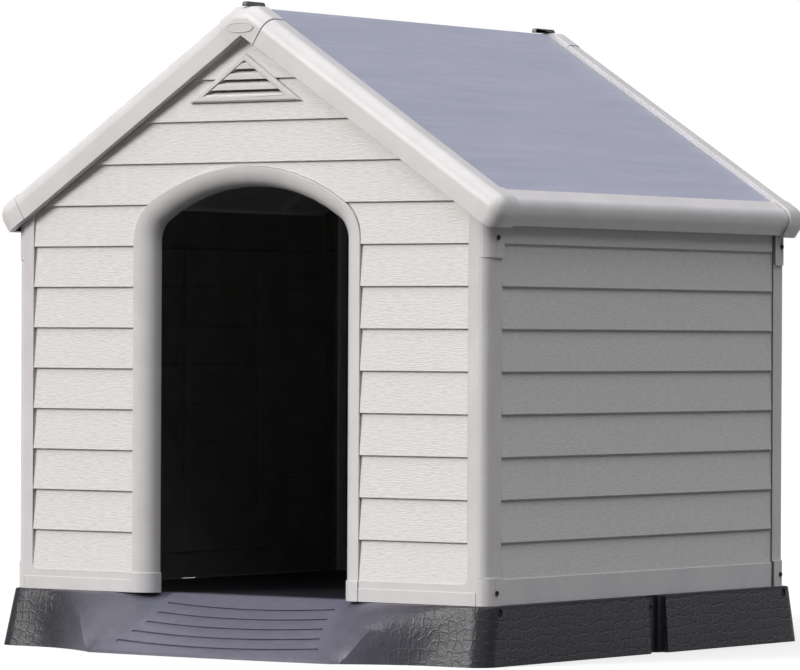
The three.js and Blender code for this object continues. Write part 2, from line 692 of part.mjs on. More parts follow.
// Stations along the outside edge of the surround, from the right foot over the arch to the
// left: a place and the direction towards the opening.
function doorPath(low) {
  const half = DOOR_WIDTH / 2;
  const arch = ARCH_RADIUS - ARCH_CORNER_RADIUS;
  const cornerX = half - ARCH_CORNER_RADIUS;
  const archZ = DOOR_TOP - ARCH_RADIUS;
  const spring = archZ + Math.sqrt(arch * arch - cornerX * cornerX);
  const turn = Math.atan2(spring - archZ, cornerX);
  const stations = [{ x: half, z: low, angle: 0, roll: JAMB_ROLL }];
  const onArc = (cx, cz, radius, angle) => {
    const z = cz + radius * Math.sin(angle);
    const rise = THREE.MathUtils.smoothstep(z, spring, DOOR_TOP);
    const roll = THREE.MathUtils.lerp(JAMB_ROLL, ARCH_ROLL, rise);
    stations.push({ x: cx + radius * Math.cos(angle), z, angle, roll });
  };
  for (let i = 0; i <= 6; i += 1) onArc(cornerX, spring, ARCH_CORNER_RADIUS, (turn * i) / 6);
  for (let i = 1; i <= 6; i += 1) {
    onArc(0, archZ, ARCH_RADIUS, turn + ((Math.PI / 2 - turn) * i) / 6);
  }
  const left = stations.slice(0, -1).map((s) => ({ ...s, x: -s.x, angle: Math.PI - s.angle }));
  return [...stations, ...left.reverse()];
}

// Outline of the doorway, grown outwards from the surround's outside edge.
function doorOutline(grow) {
  return doorPath(0).map(({ x, z, angle }) => [
    x + grow * Math.cos(angle),
    z + grow * Math.sin(angle),
  ]);
}

// Rolled face of the surround as [inward, depth] points, grown by a thickness.
function rollFace(roll, grow, from = 0, steps = 6) {
  return Array.from({ length: steps + 1 }, (unused, i) => {
    const angle = from + ((Math.PI / 2 - from) * i) / steps;
    const inward = (roll + grow) * Math.sin(angle);
    return [inward, ROLL_DEPTH - (ROLL_DEPTH + grow) * Math.cos(angle)];
  });
}

function surroundSection(roll) {
  const flangeFace = RETURN_DEPTH + SEAT_GAP;
  const innerStart = Math.asin(SKIN / (roll - SKIN));
  return [
    ...rollFace(roll, 0),
    [roll, ROLL_DEPTH + ROLL_LIP],
    [roll - SKIN, ROLL_DEPTH + ROLL_LIP],
    ...rollFace(roll, -SKIN, innerStart).reverse(),
    [SKIN, flangeFace + SKIN],
    [-SURROUND_FLANGE, flangeFace + SKIN],
    [-SURROUND_FLANGE, flangeFace],
    [0, flangeFace],
  ];
}

function doorSurround() {
  const rings = doorPath(WALL_BOTTOM).map(({ x, z, angle, roll }) =>
    surroundSection(roll).map(([inward, depth]) => new THREE.Vector3(
      x - inward * Math.cos(angle),
      -END_Y + depth,
      z - inward * Math.sin(angle),
    )),
  );
  const sweep = loft(rings, (p) => new THREE.Vector2(p.x, p.y));
  const lip = [[JAMB_ROLL + DOOR_FOOT_PROUD, ROLL_DEPTH + ROLL_LIP]];
  const foot = [
    ...rollFace(JAMB_ROLL, DOOR_FOOT_PROUD),
    ...lip,
    [JAMB_ROLL - 1, ROLL_DEPTH + ROLL_LIP],
    ...rollFace(JAMB_ROLL, -1).reverse(),
  ];
  const feet = [-1, 1].map((side) => {
    const plan = foot.map(([inward, depth]) => [side * (DOOR_WIDTH / 2 - inward), depth - END_Y]);
    return alongZ(plan, WALL_BOTTOM, DOOR_FOOT_TOP);
  });
  return joined([sweep, ...feet]);
}

// ---------------------------------------------------------------- gable vent

// The vent's outline, grown outwards on its three sides.
function ventTriangle(grow) {
  const slope = (VENT_TOP - VENT_BOTTOM) / VENT_HALF_WIDTH;
  const top = VENT_TOP + grow * Math.hypot(1, slope);
  const bottom = VENT_BOTTOM - grow;
  const half = (top - bottom) / slope;
  return [[-half, bottom], [half, bottom], [0, top]];
}

function gableVent() {
  const face = -END_Y - VENT_PROUD;
  const seat = -END_Y + BOARD_LIP - SEAT_GAP;
  const back = face + VENT_DEPTH;
  const at = (grow, y) => ventTriangle(grow).map(([x, z]) => new THREE.Vector3(x, y, z));
  const plate = loft([at(-VENT_BEVEL, face), at(0, face + VENT_BEVEL), at(0, seat)], (p) =>
    new THREE.Vector2(p.x, p.z));
  const plug = alongY(ventTriangle(VENT_PLUG - VENT_FRAME), seat - 1, back);
  const opening = alongY(ventTriangle(-VENT_FRAME), -FAR, 0);
  const frame = plate.add(plug).subtract(opening);
  const reach = alongY(ventTriangle(1 - VENT_FRAME), -FAR, 0);
  const blades = [];
  for (let i = 0; i < BLADE_COUNT; i += 1) {
    const low = VENT_BOTTOM + VENT_BEVEL + i * BLADE_PITCH;
    const lip = low + BLADE_LIP;
    const section = [
      [face + 1, low],
      [face + 1, lip],
      [back, lip + BLADE_RISE],
      [back, lip + BLADE_RISE - BLADE_SKIN],
      [face + 1 + BLADE_SKIN, lip - BLADE_SKIN],
      [face + 1 + BLADE_SKIN, low],
    ];
    blades.push(alongX(section, -VENT_HALF_WIDTH, VENT_HALF_WIDTH).intersect(reach));
  }
  return joined([frame, ...blades]);
}

// ---------------------------------------------------------------- base

const BASE_TOP_X = SIDE_X + BASE_LEDGE_SIDE;
const BASE_TOP_Y = END_Y + BASE_LEDGE_END;

function fall(z) {
  return THREE.MathUtils.clamp(1 - z / BASE_HEIGHT, 0, 1);
}

// The ramp's surface at its side edges, as distance forward of the posts against height.
const RAMP_CURVE = new THREE.SplineCurve([
  new THREE.Vector2(0, BASE_HEIGHT),
  new THREE.Vector2(RAMP_REACH * 0.22, BASE_HEIGHT * 0.91),
  new THREE.Vector2(RAMP_REACH * 0.43, BASE_HEIGHT * 0.7),
  new THREE.Vector2(RAMP_REACH * 0.58, BASE_HEIGHT * 0.51),
  new THREE.Vector2(RAMP_REACH * 0.72, BASE_HEIGHT * 0.31),
  new THREE.Vector2(RAMP_REACH * 0.86, (RAMP_LIP + BASE_HEIGHT * 0.19) / 2 + 1),
  new THREE.Vector2(RAMP_REACH, RAMP_LIP),
]).getPoints(60);

function rampForward(z) {
  if (z <= RAMP_LIP) return RAMP_REACH;
  const i = RAMP_CURVE.findIndex((p) => p.y <= z);
  if (i <= 0) return 0;
  const [above, below] = [RAMP_CURVE[i - 1], RAMP_CURVE[i]];
  const part = (above.y - z) / (above.y - below.y || 1);
  return THREE.MathUtils.lerp(above.x, below.x, part);
}

function rampHalf(z) {
  const part = THREE.MathUtils.clamp((BASE_HEIGHT - z) / (BASE_HEIGHT - RAMP_LIP), 0, 1);
  return THREE.MathUtils.lerp(RAMP_TOP_WIDTH, RAMP_FOOT_WIDTH, part) / 2;
}

function rampY(x, z) {
  const across = x / rampHalf(z);
  const bow = RAMP_BOW * fall(z) * (1 - across * across);
  return -END_Y - rampForward(z) - bow;
}

// Front face of the base beside the ramp, without the cheek that turns in to the ramp.
function skirtY(x, z) {
  const away = THREE.MathUtils.clamp((Math.abs(x) - LOBE_X) / LOBE_SPREAD, 0, 1);
  const near = 1 - away;
  const bulge = BASE_FLARE_END + LOBE_BULGE * near ** 1.6;
  const level = THREE.MathUtils.clamp(z / BASE_HEIGHT, 0, 1);
  const profile = THREE.MathUtils.lerp(1 - level, Math.sqrt(1 - level * level), near);
  return -BASE_TOP_Y - bulge * profile;
}

function cheekY(x, z) {
  const edge = rampHalf(z);
  const along = THREE.MathUtils.clamp((x - edge) / (LOBE_X - edge), 0, 1);
  const from = rampY(edge, z);
  return from + (skirtY(LOBE_X, z) - from) * Math.sin((along * Math.PI) / 2);
}

const RAMP_STEPS = 6;
const CHEEK_STEPS = [0.12, 0.3, 0.52, 0.76, 1];
const SKIRT_STEPS = [0.2, 0.45, 0.75];

// Right-hand half of the front base's outline at height z, from the joint to the middle.
function frontHalfOutline(z, inset) {
  const sideX = BASE_TOP_X + BASE_FLARE_SIDE * fall(z) - inset;
  const corner = BASE_RADIUS - inset;
  const recessX = BASE_TOP_X - JOINT_RECESS_DEPTH - inset;
  const recessY = JOINT_RECESS_FRONT - inset;
  const frontX = sideX - corner;
  const cornerY = skirtY(frontX, z) + inset + corner;
  const half = [
    [recessX, JOINT_Y - SEAT_GAP / 2 + (inset ? 1 : 0)],
    [recessX, recessY],
    [sideX, recessY],
  ];
  for (let i = 0; i <= 4; i += 1) {
    const angle = (i / 4) * (Math.PI / 2);
    half.push([frontX + corner * Math.cos(angle), cornerY - corner * Math.sin(angle)]);
  }
  for (const part of SKIRT_STEPS) {
    const x = THREE.MathUtils.lerp(frontX, LOBE_X, part);
    half.push([x, skirtY(x, z) + inset]);
  }
  for (const part of [...CHEEK_STEPS].reverse()) {
    const x = THREE.MathUtils.lerp(rampHalf(z), LOBE_X, part);
    half.push([x - inset / 2, cheekY(x, z) + inset]);
  }
  for (let i = RAMP_STEPS; i > 0; i -= 1) {
    const x = (rampHalf(z) * i) / RAMP_STEPS;
    half.push([x - inset / 2, rampY(x, z) + inset]);
  }
  return half;
}

function rearHalfOutline(z, inset) {
  const sideX = BASE_TOP_X + BASE_FLARE_SIDE * fall(z) - inset;
  const endY = BASE_TOP_Y + BASE_FLARE_END * fall(z) - inset;
  const corner = BASE_RADIUS - inset;
  const recessX = BASE_TOP_X - JOINT_RECESS_DEPTH - inset;
  const recessY = JOINT_RECESS_BACK + inset;
  const half = [
    [recessX, JOINT_Y + SEAT_GAP / 2 - (inset ? 1 : 0)],
    [recessX, recessY],
    [sideX, recessY],
  ];
  for (let i = 0; i <= 4; i += 1) {
    const angle = (i / 4) * (Math.PI / 2);
    half.push([sideX - corner + corner * Math.cos(angle), endY - corner + corner * Math.sin(angle)]);
  }
  return half;
}

// Heights of the outlines from the ramp's lip to the top of the base, the last step at the top.
const LEVEL_STEPS = [0, 5, 13, 25, 38, 52, 65, 72, 76];
const BASE_LEVELS = [0, ...LEVEL_STEPS.map((step) =>
  THREE.MathUtils.lerp(RAMP_LIP, BASE_HEIGHT, step / LEVEL_STEPS.at(-1)))];

function baseBody(halfOutline, middle, inset, drop, levels) {
  const rings = levels.map((z) => {
    const half = halfOutline(z, inset);
    const other = half.map(([x, y]) => [-x, y]).reverse();
    return [...half, ...middle(z, inset), ...other].map(([x, y]) => new THREE.Vector3(x, y, z - drop));
  });
  return loft(rings, (p) => new THREE.Vector2(p.x, p.y));
}

// A half of the base as a shell under its deck, with runners and ribs that stand on the ground.
function baseHalf(halfOutline, middle, y0, y1) {
  const outside = baseBody(halfOutline, middle, 0, 0, BASE_LEVELS);
  const upper = BASE_LEVELS.slice(1).map((z) => Math.min(z, DECK_UNDERSIDE + BASE_SKIN));
  const levels = [BASE_SKIN - 1, ...new Set(upper)];
  const inside = baseBody(halfOutline, middle, BASE_SKIN, BASE_SKIN, levels);
  const filled = baseBody(halfOutline, middle, 1, 0, BASE_LEVELS);
  const web = RUNNER_RIB / 2;
  const height = DECK_UNDERSIDE + 1;
  const ribs = [-RUNNER_OFFSET, 0, RUNNER_OFFSET].flatMap((x) => [
    block(x - web, x + web, y0, y1, 0, height),
    block(x - RUNNER_WIDTH / 2, x + RUNNER_WIDTH / 2, y0, y1, 0, RUNNER_RIB),
  ]);
  const gap = block(-FAR, FAR, y0, y1, 0, height);
  return outside.subtract(inside).add(joined(ribs).intersect(filled).intersect(gap));
}

function deckPocket(y0, y1) {
  const half = SIDE_X - DECK_MARGIN;
  return block(-half, half, y0, y1, DECK_TOP, FAR);
}

// Lugs that stand inside the feet of the walls and keep them in place.
function wallLugs(direction) {
  const sideX = SIDE_X - SKIN - LUG_GAP;
  const endY = END_Y - SKIN - LUG_GAP;
  const top = BASE_HEIGHT + LUG_HEIGHT;
  return [-1, 1].flatMap((side) => {
    const [x0, x1] = [side * sideX, side * (sideX - LUG_WIDTH)].sort((a, b) => a - b);
    const y = direction * SIDE_LUG_Y;
    const [e0, e1] = [direction * endY, direction * (endY - LUG_WIDTH)].sort((a, b) => a - b);
    const x = side * END_LUG_X;
    return [
      block(x0, x1, y - LUG_LENGTH / 2, y + LUG_LENGTH / 2, BASE_HEIGHT - 2, top),
      block(x - LUG_LENGTH / 2, x + LUG_LENGTH / 2, e0, e1, BASE_HEIGHT - 2, top),
    ];
  });
}

// A groove across the ramp: a thin bar that follows the surface and droops in the middle.
function rampGroove(z) {
  const end = rampHalf(z) - GROOVE_MARGIN;
  const steps = 8;
  const rings = Array.from({ length: steps + 1 }, (unused, i) => {
    const x = THREE.MathUtils.lerp(-end, end, i / steps);
    const level = z - GROOVE_DROOP * (1 - (x / end) ** 2);
    const low = level - GROOVE_WIDTH / 2;
    const high = level + GROOVE_WIDTH / 2;
    return [
      new THREE.Vector3(x, rampY(x, low) + GROOVE_DEPTH, low),
      new THREE.Vector3(x, rampY(x, low) - 6, low),
      new THREE.Vector3(x, rampY(x, high) - 6, high),
      new THREE.Vector3(x, rampY(x, high) + GROOVE_DEPTH, high),
    ];
  });
  return loft(rings, (p) => new THREE.Vector2(p.y, p.z));
}

const JOINT_WALL_X = BASE_TOP_X - JOINT_RECESS_DEPTH;

function baseFront() {
  const middle = (z, inset) => [[0, rampY(0, z) + inset]];
  const body = baseHalf(frontHalfOutline, middle, -FAR, JOINT_RECESS_FRONT - JOINT_LAP / 2);
  const grooves = Array.from({ length: GROOVE_COUNT }, (unused, i) =>
    rampGroove(BASE_HEIGHT - GROOVE_START - i * GROOVE_PITCH));
  const pocket = deckPocket(DECK_MARGIN_END - END_Y, JOINT_Y + 1);
  return cut(body.add(joined(wallLugs(-1))), [
    pocket,
    ...grooves,
    screwHole(JOINT_SCREW_Y, JOINT_SCREW_Z),
    screwHole(-SCREW_Y, BASE_SCREW_Z),
    ...screwPockets(-SCREW_Y, BASE_SCREW_Z, BASE_TOP_X),
  ]);
}

function baseRear() {
  const middle = () => [];
  const body = baseHalf(rearHalfOutline, middle, JOINT_Y + JOINT_LAP, FAR);
  const lapTop = DECK_UNDERSIDE - SEAT_GAP;
  const half = SIDE_X - DECK_MARGIN;
  const laps = [
    block(-half, half, JOINT_Y - JOINT_LAP, JOINT_Y + JOINT_LAP, lapTop - BASE_SKIN + 1, lapTop),
    block(-half, half, JOINT_Y + SEAT_GAP / 2, JOINT_Y + JOINT_LAP, lapTop - BASE_SKIN + 1,
      DECK_UNDERSIDE + 1),
  ];
  const cheek = JOINT_WALL_X - BASE_SKIN - SEAT_GAP;
  for (const side of [-1, 1]) {
    const [x0, x1] = [side * cheek, side * (cheek - BASE_SKIN)].sort((a, b) => a - b);
    const [w0, w1] = [side * (cheek - 1), side * (JOINT_WALL_X - 1)].sort((a, b) => a - b);
    const front = JOINT_RECESS_FRONT;
    laps.push(
      block(x0, x1, front, JOINT_Y + BASE_SKIN, RUNNER_RIB, DECK_UNDERSIDE - BASE_SKIN),
      block(w0, w1, JOINT_Y + SEAT_GAP, JOINT_Y + BASE_SKIN, RUNNER_RIB, DECK_UNDERSIDE - BASE_SKIN),
    );
  }
  return cut(body.add(joined([...laps, ...wallLugs(1)])), [
    deckPocket(JOINT_Y - 1, END_Y - DECK_MARGIN_END),
    screwHole(JOINT_SCREW_Y, JOINT_SCREW_Z),
    screwHole(SCREW_Y, BASE_SCREW_Z),
    ...screwPockets(SCREW_Y, BASE_SCREW_Z, BASE_TOP_X),
  ]);
}

// Round pockets in both sides for the heads of the base's corner screws.
function screwPockets(y, z, face) {
  return [-1, 1].map((side) => {
    const radius = SCREW_HEAD_RADIUS + SCREW_POCKET_GAP;
    const geometry = new THREE.CylinderGeometry(radius, radius, SCREW_POCKET_REACH, 12);
    geometry.rotateZ(Math.PI / 2);
    geometry.translate(side * (face - SCREW_HEAD_HEIGHT + SCREW_POCKET_REACH / 2), y, z);
    return solid(geometry);
  });
}

// ---------------------------------------------------------------- screws

// A pan-head screw that points along -x, with the seat of its head at the origin.
function screw(length) {
  const profile = [
    [0, -length],
    [SCREW_SHANK_RADIUS, -length + 2],
    [SCREW_SHANK_RADIUS, 0],
    [SCREW_HEAD_RADIUS, 0],
    [SCREW_HEAD_RADIUS, SCREW_HEAD_HEIGHT * 0.5],
    [SCREW_HEAD_RADIUS * 0.7, SCREW_HEAD_HEIGHT],
    [0, SCREW_HEAD_HEIGHT],
  ];
  const geometry = new THREE.LatheGeometry(profile.map(([r, h]) => new THREE.Vector2(r, h)), 8);
  geometry.rotateZ(-Math.PI / 2);
  return solid(geometry);
}

// ---------------------------------------------------------------- the house

const FINISHES = {
  lightPlastic: { color: 0xd9d6d6, roughness: 0.55, metalness: 0 },
  trimPlastic: { color: 0xe2e0e0, roughness: 0.45, metalness: 0 },
  roofPlastic: { color: 0xaaabba, roughness: 0.6, metalness: 0 },
  basePlastic: { color: 0x3c3d46, roughness: 0.6, metalness: 0 },
  screwSteel: { color: 0x17171a, roughness: 0.4, metalness: 0.3 },
};

const house = new THREE.Group();
// The origin sits under the middle of the whole house, ramp included.
const FRONT_REACH = END_Y + RAMP_REACH + RAMP_BOW;
const REAR_REACH = BASE_TOP_Y + BASE_FLARE_END;
house.position.y = (FRONT_REACH - REAR_REACH) / 2;

function toGeometry(body) {
  const { vertProperties, triVerts } = body.getMesh();
  const geometry = new THREE.BufferGeometry();
  geometry.setAttribute('position', new THREE.BufferAttribute(vertProperties, 3));
  geometry.setIndex(new THREE.BufferAttribute(triVerts, 1));
  geometry.computeVertexNormals();
  return geometry;
}

function place(name, geometry, finish, halfTurn = false) {
  const mesh = new THREE.Mesh(geometry, new THREE.MeshStandardMaterial(FINISHES[finish]));
  mesh.name = name;
  if (halfTurn) mesh.rotation.z = Math.PI;
  house.add(mesh);
  return mesh;
}

const frontWall = gableWall([]).subtract(alongY(doorOutline(SURROUND_GAP), -FAR, 0));
place('front_wall', toGeometry(frontWall), 'lightPlastic');
place('back_wall', toGeometry(gableWall([-BACK_RIB_OFFSET, BACK_RIB_OFFSET])), 'lightPlastic', true);
place('door_surround', toGeometry(doorSurround()), 'trimPlastic');

const walls = toGeometry(sideWall());
const frames = toGeometry(roofFrame());
const sheets = toGeometry(roofSheet());
for (const [side, halfTurn] of [['right', false], ['left', true]]) {
  place(`${side}_wall`, walls, 'lightPlastic', halfTurn);
  place(`${side}_roof_frame`, frames, 'trimPlastic', halfTurn);
  place(`${side}_roof_sheet`, sheets, 'roofPlastic', halfTurn);
}

const vents = toGeometry(gableVent());
const caps = toGeometry(apexCap());
const rakes = [1, -1].map((side) => toGeometry(rake(side)));
const elbows = [1, -1].map((side) => toGeometry(elbow(side)));
for (const [end, halfTurn] of [['front', false], ['back', true]]) {
  const sides = halfTurn ? ['left', 'right'] : ['right', 'left'];
  place(`${end}_vent`, vents, 'trimPlastic', halfTurn);
  place(`${end}_apex_cap`, caps, 'trimPlastic', halfTurn);
  sides.forEach((side, i) => {
    place(`${end}_${side}_rake`, rakes[i], 'trimPlastic', halfTurn);
    place(`${end}_${side}_elbow`, elbows[i], 'trimPlastic', halfTurn);
  });
}

const frontClip = ridgeClip(-END_Y - CLIP_FRONT_PROUD, CLIP_LENGTH, 0);
const backClip = ridgeClip(END_Y - CLIP_BACK_INSET - CLIP_BACK_LENGTH, CLIP_BACK_LENGTH, CLIP_LOOP);
place('front_ridge_clip', toGeometry(frontClip), 'basePlastic');
place('back_ridge_clip', toGeometry(backClip), 'basePlastic');

place('base_front', toGeometry(baseFront()), 'basePlastic');
place('base_rear', toGeometry(baseRear()), 'basePlastic');

const cornerScrew = toGeometry(screw(COLLAR_PROUD + 4 * SKIN));
const jointScrew = toGeometry(screw(3 * BASE_SKIN));
for (const [side, halfTurn] of [['right', false], ['left', true]]) {
  const out = halfTurn ? -1 : 1;
  for (const [end, y] of [['front', -SCREW_Y], ['back', SCREW_Y]]) {
    for (const [level, z] of [['low', LOW_SCREW_Z], ['high', HIGH_SCREW_Z]]) {
      const mesh = place(`${end}_${side}_${level}_screw`, cornerScrew, 'screwSteel', halfTurn);
      mesh.position.set(out * (COLLAR_X + SEAT_GAP), y, z);
    }
    const mesh = place(`${end}_${side}_base_screw`, jointScrew, 'screwSteel', halfTurn);
    mesh.position.set(out * (BASE_TOP_X - SCREW_HEAD_HEIGHT + SEAT_GAP), y, BASE_SCREW_Z);
  }
  const mesh = place(`${side}_joint_screw`, jointScrew, 'screwSteel', halfTurn);
  mesh.position.set(out * (JOINT_WALL_X + SEAT_GAP), JOINT_SCREW_Y, JOINT_SCREW_Z);
}

export default house;
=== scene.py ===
import math

import bmesh
import bpy
from mathutils import Matrix, Vector
from mathutils.bvhtree import BVHTree


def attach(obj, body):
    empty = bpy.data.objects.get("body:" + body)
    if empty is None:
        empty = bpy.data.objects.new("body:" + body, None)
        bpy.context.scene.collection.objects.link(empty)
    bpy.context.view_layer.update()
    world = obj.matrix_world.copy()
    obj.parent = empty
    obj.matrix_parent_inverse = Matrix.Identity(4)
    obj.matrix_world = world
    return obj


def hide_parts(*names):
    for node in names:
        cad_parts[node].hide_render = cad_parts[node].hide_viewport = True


MM = 0.001
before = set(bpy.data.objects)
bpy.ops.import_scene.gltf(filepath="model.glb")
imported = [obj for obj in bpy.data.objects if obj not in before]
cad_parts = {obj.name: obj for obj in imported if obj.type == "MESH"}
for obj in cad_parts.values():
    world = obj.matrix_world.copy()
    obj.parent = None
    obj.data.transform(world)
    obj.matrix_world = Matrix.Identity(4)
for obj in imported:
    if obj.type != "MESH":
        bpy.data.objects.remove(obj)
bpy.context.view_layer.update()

# ---------------------------------------------------------------- the house, as built

HOUSE_Y = 34 * MM  # the walls' middle lies this far behind the origin
SIDE_X = 446 * MM  # side face of the corner posts
END_Y = 424 * MM  # front and back face of the posts, from the walls' middle
FRAME_PROUD = 0.9 * MM  # boards lie at least this far behind the frame round them
END_BOARDS_DEPTH = 7 * MM  # and at most this far behind the posts' faces on the end walls
SIDE_BOARDS_DEPTH = 12 * MM  # the same on the sides
POST_FACE_DEPTH = 3 * MM  # of the faces that count as a post's side
SIDE_FRAME_DEPTH = 2 * MM  # of the faces that count as a side wall's frame
SIDE_WALL_END = 370 * MM  # vertices further out belong to the ends of a side wall
POST_SEAM = 2 * MM  # how far those ends are drawn in beside the posts
EDGE_ROUND = 0.8 * MM  # moulded edges
CLIP_NARROWED = 0.6  # the ridge clips show narrower than their solids

# Badge plate on the front apex cap
CAP_FACE_Y = HOUSE_Y - END_Y - 13.2 * MM
BADGE_Z = 951 * MM
BADGE_HALF_WIDTH = 24.6 * MM
BADGE_HALF_HEIGHT = 7.6 * MM
BADGE_SIDES = 32

# Base: lengths along y from the walls' middle
BASE_HEIGHT = 88 * MM
BASE_TOP_X = 456 * MM
SIDE_FLARE = 6 * MM  # how much further out the base is on the ground than at its top
FRONT_TOP_Y = 432 * MM
FRONT_FLARE = 21 * MM
REAR_TOP_Y = 440 * MM
REAR_FLARE = 13 * MM
BASE_RADIUS = 32 * MM
BASE_SKIN = 5 * MM
EDGE_RADIUS = 2 * MM  # along the top
CORNER_STEPS = 6
JOINT_Y = 40 * MM
SEAM = 0.3 * MM  # between the two pieces
RECESS_FRONT = 2.5 * MM
RECESS_BACK = 51.5 * MM
RECESS_DEPTH = 12 * MM
LOBE_FOOT_X = 240 * MM  # the base swells most here, beside the ramp, on the ground
LOBE_TOP_X = 300 * MM  # and here at its top
LOBE_ROUND = 0.5  # how round the swelling is from its foot to its top
LOBE_BULGE = 50 * MM
LOBE_SPREAD = 125 * MM
CHEEK_CURVE = 2.2  # how steeply the wall beside the ramp starts
SKIRT_STEPS = (0.12, 0.25, 0.4, 0.55, 0.7, 0.85, 1)
CHEEK_STEPS = (0.75, 0.55, 0.38, 0.24, 0.13, 0.05)

# Ramp
RAMP_REACH = 88 * MM  # from the posts to the foot
RAMP_SETBACK = 42 * MM  # from the posts back to the upper end
RAMP_LIP = 5 * MM
FOOT_LEVELS = (0, 2 * MM, RAMP_LIP, 11 * MM)  # rows of the base below the lowest groove
RAMP_BOW = 9 * MM
RAMP_TOP_HALF = 171 * MM
RAMP_FOOT_HALF = 231 * MM
RAMP_FLARE_TOP = 70 * MM
RAMP_STEPS = (1, 0.96, 0.925, 0.915, 0.8, 0.6, 0.4, 0.2, 0)
GROOVE_COUNT = 5
GROOVE_TOP = 74 * MM
GROOVE_PITCH = 13.5 * MM
GROOVE_HALF = 1 * MM  # of its width, at its bottom
GROOVE_SLANT = 0.5 * MM  # of its edges
GROOVE_DEPTH = 3.5 * MM  # straight back into the slope
GROOVE_DROOP = 6 * MM
GROOVE_FADE = 12 * MM
GROOVE_END = 0.915  # share of the ramp's width that the grooves cross

# Screws
BASE_SCREW_INSET = 22 * MM
BASE_SCREW_Z = 79 * MM
HEAD_HEIGHT = 2.5 * MM
POCKET_RADIUS = 6 * MM

# ---------------------------------------------------------------- finishes


def linear(code):
    """An sRGB colour, written in hex, as linear red, green, blue and alpha."""
    parts = [int(code[i : i + 2], 16) / 255 for i in (1, 3, 5)]
    return (
        *[p / 12.92 if p <= 0.04045 else ((p + 0.055) / 1.055) ** 2.4 for p in parts],
        1.0,
    )


def add(tree, kind, inputs=None, **settings):
    """Adds a node with its settings, and links or sets the inputs named."""
    made = tree.nodes.new(kind)
    for name, value in settings.items():
        setattr(made, name, value)
    for key, value in (inputs or {}).items():
        if isinstance(value, bpy.types.NodeSocket):
            tree.links.new(value, made.inputs[key])
        else:
            made.inputs[key].default_value = value
    return made


def new_finish(name):
    """An empty material with its output, and the piece's own coordinates in metres."""
    material = bpy.data.materials.new(name)
    material.use_nodes = True
    tree = material.node_tree
    tree.nodes.clear()
    out = add(tree, "ShaderNodeOutputMaterial")
    place = add(tree, "ShaderNodeTexCoord").outputs["Object"]
    return material, tree, out, place


def shades(tree, value, dark, light, low=0.0, high=1.0):
    """Colour between two hex shades as value goes from low to high."""
    ramp = add(
        tree,
        "ShaderNodeMapRange",
        {"Value": value, "From Min": low, "From Max": high},
    )
    mixed = add(
        tree,
        "ShaderNodeMix",
        data_type="RGBA",
        inputs={0: ramp.outputs[0], 6: linear(dark), 7: linear(light)},
    )
    return mixed.outputs[2]


def along_walls(tree, place):
    """Distance along a wall, whichever way it faces, and height, as two values."""
    split = add(tree, "ShaderNodeSeparateXYZ", {0: place})
    along = add(
        tree,
        "ShaderNodeMath",
        {0: split.outputs[0], 1: split.outputs[1]},
        operation="ADD",
    )
    return along.outputs[0], split.outputs[2]


def wood_grained_resin():
    """Injection-moulded polypropylene with a wood grain etched into the mould: short wavy
    ridges along the board, about 14 mm long, 2 mm apart and 0.2 mm high."""
    material, tree, out, place = new_finish("wood_grained_resin")
    along, height = along_walls(tree, place)
    flat = add(tree, "ShaderNodeCombineXYZ", {0: along, 1: height})
    swell = add(
        tree,
        "ShaderNodeTexNoise",
        {"Vector": flat.outputs[0], "Scale": 26.0, "Detail": 1.0},
        noise_dimensions="2D",
    )
    waved = add(
        tree,
        "ShaderNodeMath",
        {0: swell.outputs["Fac"], 1: 9 * MM, 2: height},
        operation="MULTIPLY_ADD",
    )
    lines = add(tree, "ShaderNodeCombineXYZ", {0: along, 1: waved.outputs[0]})
    stretched = add(
        tree,
        "ShaderNodeMapping",
        {"Vector": lines.outputs[0], "Scale": (1 / (14 * MM), 1 / (2.0 * MM), 1)},
    )
    grain = add(
        tree,
        "ShaderNodeTexNoise",
        {"Vector": stretched.outputs[0], "Scale": 1.0, "Detail": 2.0, "Roughness": 0.55},
        noise_dimensions="2D",
    )
    bump = add(
        tree,
        "ShaderNodeBump",
        {"Height": grain.outputs["Fac"], "Distance": 0.6 * MM, "Strength": 0.75},
    )
    colour = shades(tree, grain.outputs["Fac"], "#CDCAC8", "#D8D5D3", 0.3, 0.65)
    shader = add(
        tree,
        "ShaderNodeBsdfPrincipled",
        {
            "Base Color": colour,
            "Roughness": 0.5,
            "IOR": 1.49,
            "Normal": bump.outputs[0],
        },
    )
    tree.links.new(shader.outputs[0], out.inputs[0])
    return material


def satin_resin(name, dark, light, roughness):
    """Smooth moulded polypropylene: satin, with a faint orange-peel of about 3 mm and
    slight cloudiness of the pigment over some 60 mm."""
    material, tree, out, place = new_finish(name)
    peel = add(
        tree,
        "ShaderNodeTexNoise",
        {"Vector": place, "Scale": 330.0, "Detail": 2.0, "Roughness": 0.5},
    )
    cloud = add(
        tree,
        "ShaderNodeTexNoise",
        {"Vector": place, "Scale": 16.0, "Detail": 3.0, "Roughness": 0.55},
    )
    bump = add(
        tree,
        "ShaderNodeBump",
        {"Height": peel.outputs["Fac"], "Distance": 0.12 * MM, "Strength": 0.5},
    )
    colour = shades(tree, cloud.outputs["Fac"], dark, light, 0.35, 0.65)
    shader = add(
        tree,
        "ShaderNodeBsdfPrincipled",
        {
            "Base Color": colour,
            "Roughness": roughness,
            "IOR": 1.49,
            "Normal": bump.outputs[0],
        },
    )
    tree.links.new(shader.outputs[0], out.inputs[0])
    return material


